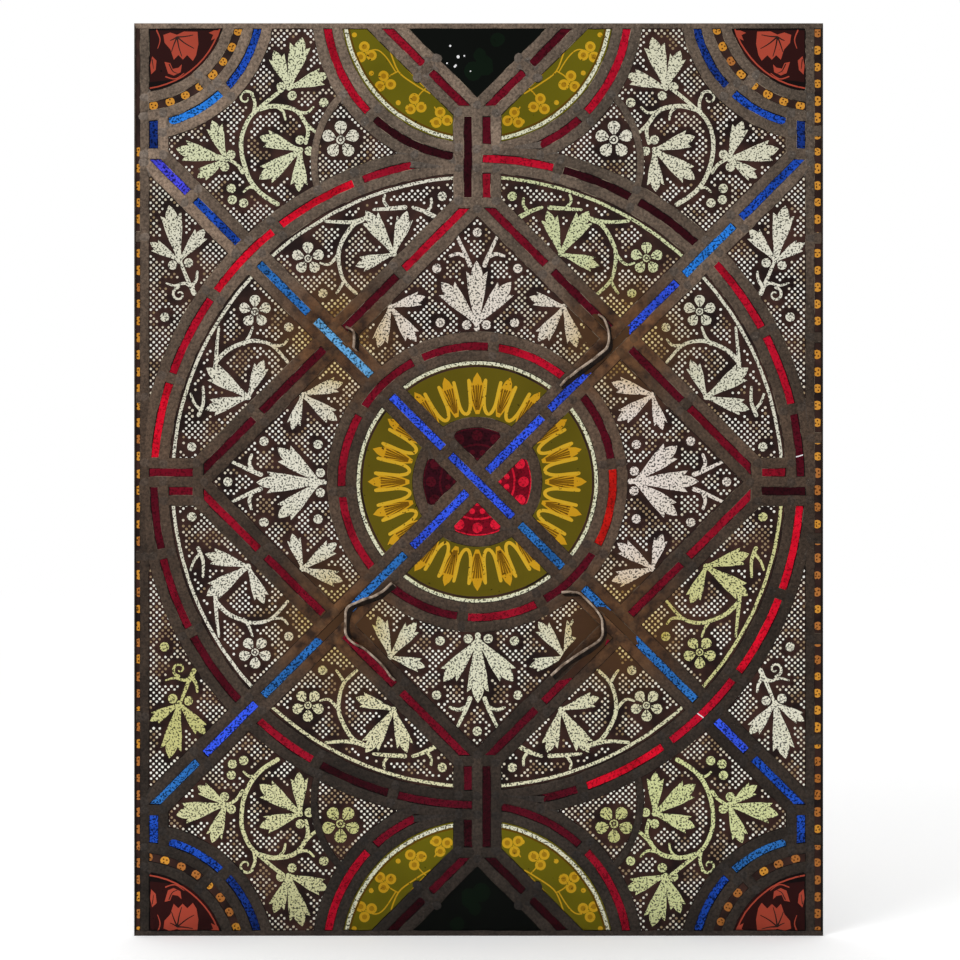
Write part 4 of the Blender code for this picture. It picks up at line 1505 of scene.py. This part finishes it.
# %% Ruby quarters and dark triangles
def draw_ruby_quarter(d):
    for degrees in (67, 90, 113):
        d.put("bright", disc(on_circle(MIDDLE, 41.0, math.radians(degrees)), 4.7))
    for radius, width, spread in ((48.0, 2.2, 40), (33.0, 1.8, 24)):
        arc(d, "bright", MIDDLE, radius, [90 + spread * share / 4 for share in range(-4, 5)], width)
    d.put("bright", disc((0, 19), 2.6, 8), disc((-4.5, 26), 2.6, 8), disc((4.5, 26), 2.6, 8))


def draw_dark_triangle(d):
    for x, z, radius in ((-3, 364, 8), (5, 369, 9), (2, 378, 6), (18, 391, 7)):
        reaches = [radius * (1 + 0.35 * wander(i * 5, x, 33)) for i in range(12)]
        d.put("glow", [on_circle((x, z), reach, i * math.pi / 6) for i, reach in enumerate(reaches)])


SCRATCHES = (
    (-24, 386, 1.0), (-17, 376.5, 1.5), (-11.5, 377.5, 0.8), (-20, 368, 1.1), (-27, 371, 0.8), (-19, 369, 1.0),
    (-6, 364, 0.7),
)


def draw_scratches(d):
    draw_dark_triangle(d)
    for x, z, radius in SCRATCHES:
        d.put("clear", disc((x, z), radius, 6))


tell(draw_ruby_quarter)
tell(draw_dark_triangle)
tell(draw_scratches)

# %% [markdown]
# ## Materials of the painted panes
# Bare painted glass is not clean: the matt wash on it is stippled with a brush, which gives the
# leaves their fine dark speckle. The black ground is enamel and lets no light through.

# %% Painted glass
def bare_glass(name, speck_scale, cut, cloud_tint, rough=0.3):
    """Glass with a stippled wash, tinted by the mesh, and here and there by the cloud's tint."""
    made, tree, shader, place = material(name, Roughness=rough, IOR=GLASS_IOR, Transmission_Weight=1.0)
    tint = add(tree, "Attribute", attribute_name="tint").outputs["Color"]
    specks = ramp(tree, noise_of(tree, place, speck_scale, 2.0, 0.5), [(cut, 0.01), (cut + 0.05, 1.0)])
    cloud = ramp(tree, noise_of(tree, place, 9.0), [(0.36, cloud_tint), (0.56, (1.0, 1.0, 1.0, 1.0))])
    stained = mix(tree, rust_share(tree, place), (1.0, 1.0, 1.0, 1.0), rgba(214, 178, 96))
    colour = mix(tree, 1.0, mix(tree, 1.0, tint, specks, "MULTIPLY"), cloud, "MULTIPLY")
    tree.links.new(mix(tree, 1.0, colour, stained, "MULTIPLY"), shader.inputs["Base Color"])
    return made


def black_paint():
    made, tree, shader, place = material("brown_black_paint", Roughness=0.55)
    shader.inputs["Specular IOR Level"].default_value = 0.06
    ground = ramp(tree, noise_of(tree, place, 30.0), [(0.38, rgba(26, 16, 14)), (0.64, rgba(56, 35, 29))])
    stained = mix(tree, rust_share(tree, place), ground, rgba(66, 44, 26))
    tree.links.new(stained, shader.inputs["Base Color"])
    return made


cream_glass = bare_glass("stippled_cream_glass", 600.0, 0.425, (0.86, 0.88, 0.76, 1.0))
stain_glass = bare_glass("silver_stained_glass", 420.0, 0.3, (0.8, 0.72, 0.5, 1.0))
body_glass = bare_glass("smooth_coloured_glass", 240.0, 0.22, (0.7, 0.7, 0.6, 1.0))
ruby_glass = pot_glass("ruby_pot_glass", 480.0, 0.42, 0.22)
blue_glass = pot_glass("blue_pot_glass", 540.0, 0.55, 0.02)
back_glass = material("plain_glass_back", Roughness=0.08, IOR=GLASS_IOR, Transmission_Weight=1.0)[0]
paint = black_paint()
print("materials of the glass are ready")

# %% [markdown]
# ## Glazing
# A scheme says how each kind of shape is finished, the first match winning. Light passes the
# painted front and the plain back, and each lets through the square root of its colour, so a
# tint is stored as the square of what the eye should see.

# %% Schemes
def seen(red, green, blue):
    """The tint that looks like this colour against white light."""
    return tuple(value**2 for value in linear(red, green, blue))


def scheme_of(**finishes):
    """Kinds with their finish, the ground last."""
    return {kind.replace("_", " "): finish for kind, finish in finishes.items()}


DARK = (paint, (1.0, 1.0, 1.0))
CREAM = (cream_glass, seen(234, 230, 212))
# Grime and the painted shadows of the ties take the dark paint first of all.
GRISAILLE = scheme_of(
    dirt=DARK, clear_over_line=CREAM, line=DARK, clear=CREAM,
    bright_dot=(body_glass, seen(244, 242, 232)), dot=(body_glass, seen(226, 216, 196)),
    dim_dot=(body_glass, seen(158, 136, 106)), pane=DARK,
)
CREAMS = {  # where the wash has its own tint; elsewhere it is plain cream
    "corner_grisaille_top_left": (226, 228, 190), "corner_grisaille_top_right": (228, 225, 200),
    "corner_grisaille_bottom_left": (218, 216, 168), "corner_grisaille_bottom_right": (220, 224, 166),
    "segment_top_right_side": (228, 225, 206), "segment_top_right_end": (214, 219, 172),
    "segment_bottom_right_side": (214, 212, 150), "segment_bottom_right_end": (226, 222, 190),
    "segment_bottom_left_end": (226, 221, 182), "side_triangle_bottom_left": (210, 206, 140),
    "rosette_triangle_bottom_left": (204, 202, 140), "rosette_triangle_bottom_right": (206, 206, 142),
    "grisaille_right": (238, 226, 216), "grisaille_top": (236, 226, 214), "grisaille_bottom": (228, 226, 200),
}
GOLD_GROUND = (body_glass, seen(98, 86, 16))
GOLD = scheme_of(
    line=DARK, clear=(cream_glass, seen(232, 230, 200)), amber_over_ground=(stain_glass, seen(216, 172, 44)),
    ground=GOLD_GROUND, vein=(stain_glass, seen(120, 84, 10)), amber=(stain_glass, seen(208, 156, 30)),
    pane=GOLD_GROUND,
)
OLIVE = scheme_of(
    line=(body_glass, seen(96, 66, 8)), clear=(cream_glass, seen(232, 230, 205)),
    core=(stain_glass, seen(164, 122, 20)), amber=(stain_glass, seen(206, 162, 34)),
    pane=(body_glass, seen(106, 98, 14)),
)
RUST = scheme_of(
    line=DARK, bright=(body_glass, seen(176, 72, 54)), glow=(body_glass, seen(46, 16, 15)),
    pane=(body_glass, seen(20, 10, 10)),
)
BEADS = scheme_of(
    dirt=DARK, line=(stain_glass, seen(88, 48, 16)), amber=(stain_glass, seen(214, 148, 54)),
    brown=(stain_glass, seen(178, 112, 54)), pane=DARK,
)
GREEN = scheme_of(
    clear=(back_glass, seen(220, 224, 214)), glow=(body_glass, seen(8, 22, 10)),
    pane=(body_glass, seen(6, 9, 6)),
)
RUBY_DARK = scheme_of(bright=(ruby_glass, seen(80, 12, 26)), pane=(ruby_glass, seen(52, 8, 20)))
RUBY_BRIGHT = scheme_of(bright=(ruby_glass, seen(236, 28, 56)), pane=(ruby_glass, seen(128, 8, 30)))


# %% [markdown]
# ## Grime and tie shadows over the glass
# Rust and soot lie on lead and glass alike. On the lead they are in its material, but over the
# panes they hide whole leaves, so there they are shapes: ragged smears, laid over the drawing
# like one more coat of dark paint. The same smears hold the painted shadows that the ties cast
# over the glass near the crossings.

# %% Grime and painted tie shadows over the glass
GRIME_AND_TIE_SHADOWS = (  # where grime and painted tie shadows lie near the crossings: across, up, half length, half width, bearing in degrees
    (114, 117, 27, 12, 45), (105, 131, 18, 10, 95), (123, -129, 23, 12, -45), (97, -127, 16, 13, 60),
    (113, -158, 14, 9, 0), (92, -152, 34, 12, 45), (-129, -124, 19, 12, 45), (-105, -129, 15, 11, 110),
    (-112, 127, 9, 6, 45),
)


def add_dirt(drawing, pane):
    """Ragged smears of grime and painted tie shadow, where the pane lies under one."""
    xs, zs = zip(*pane.outline)
    for x, z, long, wide, bearing in GRIME_AND_TIE_SHADOWS:
        if not (min(xs) - long < x < max(xs) + long and min(zs) - long < z < max(zs) + long):
            continue
        along = on_circle(MIDDLE, 1, math.radians(bearing))
        smear = []
        for i in range(24):
            turn = i * math.pi / 12
            ragged = 1 + 0.22 * wander(x + 9 * i, z, 93)
            way, side = long * ragged * math.cos(turn), wide * ragged * math.sin(turn)
            smear.append((x + along[0] * way - along[1] * side, z + along[1] * way + along[0] * side))
        drawing.shapes.setdefault("dirt", []).append(smear)


# %% [markdown]
# ## Which drawing goes where
# A painter uses one cartoon for all panes of a kind and turns it or flips it on the bench. The
# table below does the same. It names the drawing for each kind of node and how it is moved.

# %% Which drawing goes where
def mirrored(pane):
    """From the upper left quarter to this pane's."""
    side = -1 if pane.middle[0] > 0 else 1
    rise = -1 if pane.middle[1] < 0 else 1
    return lambda x, z: (x * side, z * rise)


def turned(pane):
    """From the top to the side where this pane is."""
    quarter = round(bearing_of(MIDDLE, pane.middle) / (math.pi / 2) - 1)
    cos, sin = round(math.cos(quarter * math.pi / 2)), round(math.sin(quarter * math.pi / 2))
    return lambda x, z: (x * cos - z * sin, x * sin + z * cos)


GLAZING = (  # start and end of the node's name, its drawing, the way it is moved, its scheme
    ("corner_grisaille", "", draw_corner, mirrored, GRISAILLE),
    ("rosette_triangle", "", draw_rosette_triangle, mirrored, GRISAILLE),
    ("side_triangle", "", draw_side_triangle, mirrored, GRISAILLE),
    ("grisaille", "", draw_star, turned, GRISAILLE),
    ("segment", "_end", draw_segment_end, mirrored, GRISAILLE),
    ("segment", "_side", draw_segment_side, mirrored, GRISAILLE),
    ("gold_sector", "", draw_gold, turned, GOLD),
    ("lens_pane", "", draw_lens, mirrored, OLIVE),
    ("corner_disc", "", draw_corner_disc, mirrored, RUST),
    ("ruby_sector", "_top", draw_ruby_quarter, turned, RUBY_DARK),
    ("ruby_sector", "_left", draw_ruby_quarter, turned, RUBY_DARK),
    ("ruby_sector", "", draw_ruby_quarter, turned, RUBY_BRIGHT),
    ("green_triangle", "_top", draw_scratches, turned, GREEN),
    ("green_triangle", "", draw_dark_triangle, turned, GREEN),
)
SLOTS = (
    ("gold", "gold_glass"), ("lens", "olive_glass"), ("corner_disc", "rust_glass"),
    ("green", "green_glass"), ("blue", "blue_glass"), ("bead", "bead_glass"),
    ("ruby", "ruby_glass"), ("inner_ruby", "ruby_glass"), ("", "grisaille_glass"),
)


def slot_of(node):
    return next(slot for start, slot in SLOTS if node.startswith(start))


def glaze_node(node, jobs):
    """One piece from panes, each with its drawing and scheme."""
    solid = Solid()
    materials = [back_glass]
    for pane, drawing, scheme in jobs:
        looks = {}
        for kind, (finish, tint) in scheme.items():
            if finish not in materials:
                materials.append(finish)
            looks[kind] = (materials.index(finish), tint)
        plan = Plan({"pane": [pane.outline], **drawing.shapes})
        glaze(solid, plan, looks, 0)
    solid.finish(f"{node}.glass", materials, slot_of(node), [node])
    return len(solid.faces)


# %% Painted panes
faces = {}
for node, found in panes_of.items():
    for start, end, draw, way, scheme in GLAZING:
        if node.startswith(start) and node.endswith(end):
            jobs = []
            for pane in found:
                drawing = Drawing(way(pane))
                draw(drawing)
                finish = scheme
                if scheme is GRISAILLE:
                    add_dots(pane.outline, drawing)
                    add_dirt(drawing, pane)
                    if node in CREAMS:
                        cream = (cream_glass, seen(*CREAMS[node]))
                        finish = {**scheme, "clear over line": cream, "clear": cream}
                jobs.append((pane, drawing, finish))
            faces[node] = glaze_node(node, jobs)
            break
print(len(faces), "painted nodes,", sum(faces.values()), "faces, most in one:", max(faces.values()))

# %% [markdown]
# ## Narrow strips
# No two sheets of pot glass came out of the furnace alike, and the strips were cut from whatever
# was at hand. Each family of strips is written as one letter a strip, going anticlockwise from
# the right, and a letter stands for a tone on the glazier's rack.

# %% Tones of the rack
RUBY_TONES = {
    "b": (232, 14, 44), "c": (196, 14, 44), "m": (158, 16, 40), "w": (122, 12, 34),
    "d": (90, 10, 28), "k": (52, 6, 16), "o": (204, 26, 18),
}
BLUE_TONES = {
    "n": (24, 56, 140), "r": (34, 84, 200), "a": (48, 140, 245), "p": (84, 84, 250),
    "s": (110, 180, 235), "v": (60, 96, 252), "t": (50, 120, 200),
}
RUBY_STRIPS = {
    "ruby_bands_upper_left": "wdmwwdkdkcwdwcwmdkwmckmcbdbdcbdw",
    "ruby_bands_lower_right": "mwkcwwkdddkkkdkddmbwcwbbmkmdwcdc",
    "inner_ruby_upper_left": "mcwwm",
    "inner_ruby_lower_right": "dmdod",
}
BLUE_STRIPS = {
    "blue_arm_upper_left": "ts",
    "blue_arm_lower_right": "t",
    "blue_corner_upper_left": "ranrp",
    "blue_corner_lower_right": "rtrvr",
    "blue_cross_bands": "tvtvrrnvtrvvanrnv",
}


# %% [markdown]
# ## Beads
# The borders and the outer ring of each corner are rows of round beads, scratched out of black
# paint on amber glass and touched up with three dabs. They follow a straight line or an arc. At
# the top of the left border they are lost under dirt.

# %% Beads
BEAD_PITCH = 15.0
BEAD_RADIUS = 4.0
LEFT_SPINE, RIGHT_SPINE = LEFT + 4.0, RIGHT - 4.8  # the middles of the border rows
BLIND_SIDE, BLIND_FROM = LEFT + 10, 306  # the top of the left border is black


def add_beads(drawing, pane):
    """A row of clear beads along a border or round a corner."""
    x, z = pane.middle
    xs = [corner[0] for corner in pane.outline]
    if max(xs) < -RING_OUT + 1 or min(xs) > RING_OUT - 1:
        spine = LEFT_SPINE if x < 0 else RIGHT_SPINE
        beads = [(spine, (i + 0.5) * BEAD_PITCH) for i in range(-28, 28)]
    else:
        centre = corner_centre(1 if x > 0 else -1)
        centre = (centre[0], math.copysign(centre[1], z))
        radius = CORNER_CIRCLE + HALF_BAND
        beads = [on_circle(centre, radius, i * BEAD_PITCH / radius) for i in range(40)]
    for bead in beads:
        bead = strayed(*bead)
        if bead[0] < BLIND_SIDE and bead[1] > BLIND_FROM:
            continue
        kind = "amber" if wander(*bead, 83) + 0.3 * math.copysign(1, z) > -0.1 else "brown"
        radius = BEAD_RADIUS * (1 + 0.2 * wander(*bead, 81))
        turn = 6 * wander(*bead, 85)
        drawing.put(kind, disc(bead, radius, 12))
        for step in range(3):
            drawing.put("line", disc(on_circle(bead, radius * 0.45, turn + 1.9 * step), radius * 0.2, 6))


# %% [markdown]
# ## Strips and their cracks
# Each strip takes its tone from its letter. Two ruby strips on the right are cracked, and
# daylight shows through as a white line, so a crack is drawn like a stroke in clear glass.

# %% Cracks and strips
CRACKS = (((272, 31), (280, 22.3), (292, 25)), ((189, -200), (196, -206), (203, -211)))
DAYLIGHT = (back_glass, seen(255, 255, 255))

for node, found in panes_of.items():
    if node in faces:
        continue
    found.sort(key=lambda pane: (round(bearing_of(MIDDLE, pane.middle), 4), pane.middle))
    jobs = []
    for index, pane in enumerate(found):
        drawing = Drawing()
        # Grime and the painted shadows of the ties take the dark paint over the strips too.
        scheme = BEADS
        if node in RUBY_STRIPS:
            tone = (ruby_glass, seen(*RUBY_TONES[RUBY_STRIPS[node][index]]))
            scheme = scheme_of(dirt=DARK, crack=DAYLIGHT, pane=tone)
            for crack in CRACKS:
                if inside_any(np.array([crack[1]]), [pane.outline])[0]:
                    drawing.line("crack", crack, 0.9)
        elif node in BLUE_STRIPS:
            scheme = scheme_of(dirt=DARK, pane=(blue_glass, seen(*BLUE_TONES[BLUE_STRIPS[node][index]])))
        else:
            add_beads(drawing, pane)
        add_dirt(drawing, pane)
        jobs.append((pane, drawing, scheme))
    faces[node] = glaze_node(node, jobs)
print("all panes glazed,", sum(faces.values()), "faces")

# %% [markdown]
# ## Ties
# Strips of lead were soldered on edge over the crossings and wrapped round the iron bars that
# once held the window in the wind. The bars are gone and the strips stand out, bent and dark.
# Each is a band that follows its bends and leans, so that its outer edge shows beside one side.
# The edge is a pale lead with painted light and the sides a near-black lead with painted
# shade, as if lit from the upper left.

# %% Tie strips
TIE_THICK = 2.0
TIE_FRONT, TIE_BACK = 9.8, 2.75  # how far in front of the glass's middle
TIE_LEAN = 6.0  # how far its outer edge stands to the upper left of its foot
TIES = {  # which quarter of the panel, then bends out and up from the crossing
    "tie_upper_left": (-1, 1, ((-12, 9), (-19, 4), (-19, -10))),
    "tie_upper_right": (1, 1, (
        (-19, 20), (-13, 15), (-10, 4), (-10, -7), (-17, -15), (-41, -33), (-53, -43),
    )),
    "tie_lower_left": (-1, -1, (
        (-53, -36), (-40, -26), (-24, -20), (-13, -13), (-12, 8), (-19, 17), (-27, 21), (-43, 35), (-52, 47),
    )),
    "tie_lower_right": (1, -1, (
        (-51, -28), (-42, -28), (-34, -26), (-18, -9), (-15, 2), (-16, 11), (-24, 19), (-46, 33), (-60, 46),
    )),
}
TIE_SECTION = (  # share of the thickness across, and how far in front
    (-0.5, TIE_BACK), (0.5, TIE_BACK), (0.5, 8.8), (0.3, TIE_FRONT), (-0.3, TIE_FRONT), (-0.5, 8.8),
)


def tie_lead(name, dark, light):
    made, tree, shader, place = material(name, Roughness=0.6, Specular_IOR_Level=0.15)
    colour = ramp(tree, noise_of(tree, place, 150.0, 4.0), [(0.36, dark), (0.66, light)])
    tree.links.new(colour, shader.inputs["Base Color"])
    roughen(tree, shader, noise_of(tree, place, 320.0, 4.0), 0.6, 0.0008)
    return made


# Two copies of one lead: a pale one with painted light for the outer edge, a near-black one with painted shade
# for the back and sides.
TIE_LIGHT_AND_SHADE = [
    tie_lead("tie_edge_painted_light", rgba(84, 66, 52), rgba(178, 160, 142)),
    tie_lead("tie_side_painted_shade", rgba(8, 5, 4), rgba(36, 24, 16)),
]
for node, (quarter_x, quarter_z, bends) in TIES.items():
    strip = Solid()
    line = smooth_line([(quarter_x * (CROSSING + out), quarter_z * (CROSSING + up)) for out, up in bends], 6)
    rings = []
    for (x, z), (ax, az) in zip(line, ways_across(line)):
        lean = TIE_LEAN * (0.8 + 0.5 * wander(x, z, 91))
        ring = []
        for share, depth in TIE_SECTION:
            slant = lean * (0.5 - (depth - TIE_BACK) / (TIE_FRONT - TIE_BACK)) * DIAGONAL
            way = share * TIE_THICK
            ring.append(strip.corner(x + ax * way + slant, -depth, z + az * way - slant))
        rings.append(ring)
    # painted shade on the back and both sides, painted light on the outer edge and its chamfers
    strip.sleeve(rings, [1, 1, 0, 0, 0, 1])
    strip.finish(f"{node}.strip", TIE_LIGHT_AND_SHADE, "tie", [node], smooth=40)
print(len(TIES), "ties")

# %% [markdown]
# ## Camera, light and floor
# The panel stands free in a pale studio and is seen straight from the front through a long
# lens, so that its edges stay parallel. Most light comes through it from the white world
# behind, and one soft lamp at the upper left gives leads and ties their faint relief.

# %% Camera, light and floor
scene = bpy.context.scene
scene.view_settings.view_transform = "Standard"
lens = bpy.data.cameras.new("camera")
lens.lens = 85.0
camera = bpy.data.objects.new("camera", lens)
scene.collection.objects.link(camera)
scene.camera = camera
VIEW_WIDTH = 0.8512  # metres across the picture at the panel
camera.location = (0.0012, -VIEW_WIDTH * lens.lens / lens.sensor_width, 0.4036)
camera.rotation_euler = (math.pi / 2, 0.0, 0.0)

world = bpy.data.worlds.new("pale studio")
scene.world = world
world.use_nodes = True
world.node_tree.nodes["Background"].inputs["Color"].default_value = (1.0, 1.0, 1.0, 1.0)
world.node_tree.nodes["Background"].inputs["Strength"].default_value = 1.0

key = bpy.data.lights.new("key", "AREA")
key.energy = 9.0
key.size = 0.6
key_light = bpy.data.objects.new("key", key)
key_light.location = (-0.7, -1.1, 1.5)
key_light.rotation_euler = (math.radians(52), 0.0, math.radians(-32))
scene.collection.objects.link(key_light)

floor_mesh = bpy.data.meshes.new("floor")
FLOOR_HALF = 6.0
floor_corners = [(x * FLOOR_HALF, y * FLOOR_HALF, 0.0) for x, y in ((-1, -1), (1, -1), (1, 1), (-1, 1))]
floor_mesh.from_pydata(floor_corners, [], [(0, 1, 2, 3)])
floor = bpy.data.objects.new("floor", floor_mesh)
scene.collection.objects.link(floor)
pale = material("pale floor", Roughness=1.0, Base_Color=(*WHITE, 1.0), Specular_IOR_Level=0.0)[0]
floor_mesh.materials.append(pale)
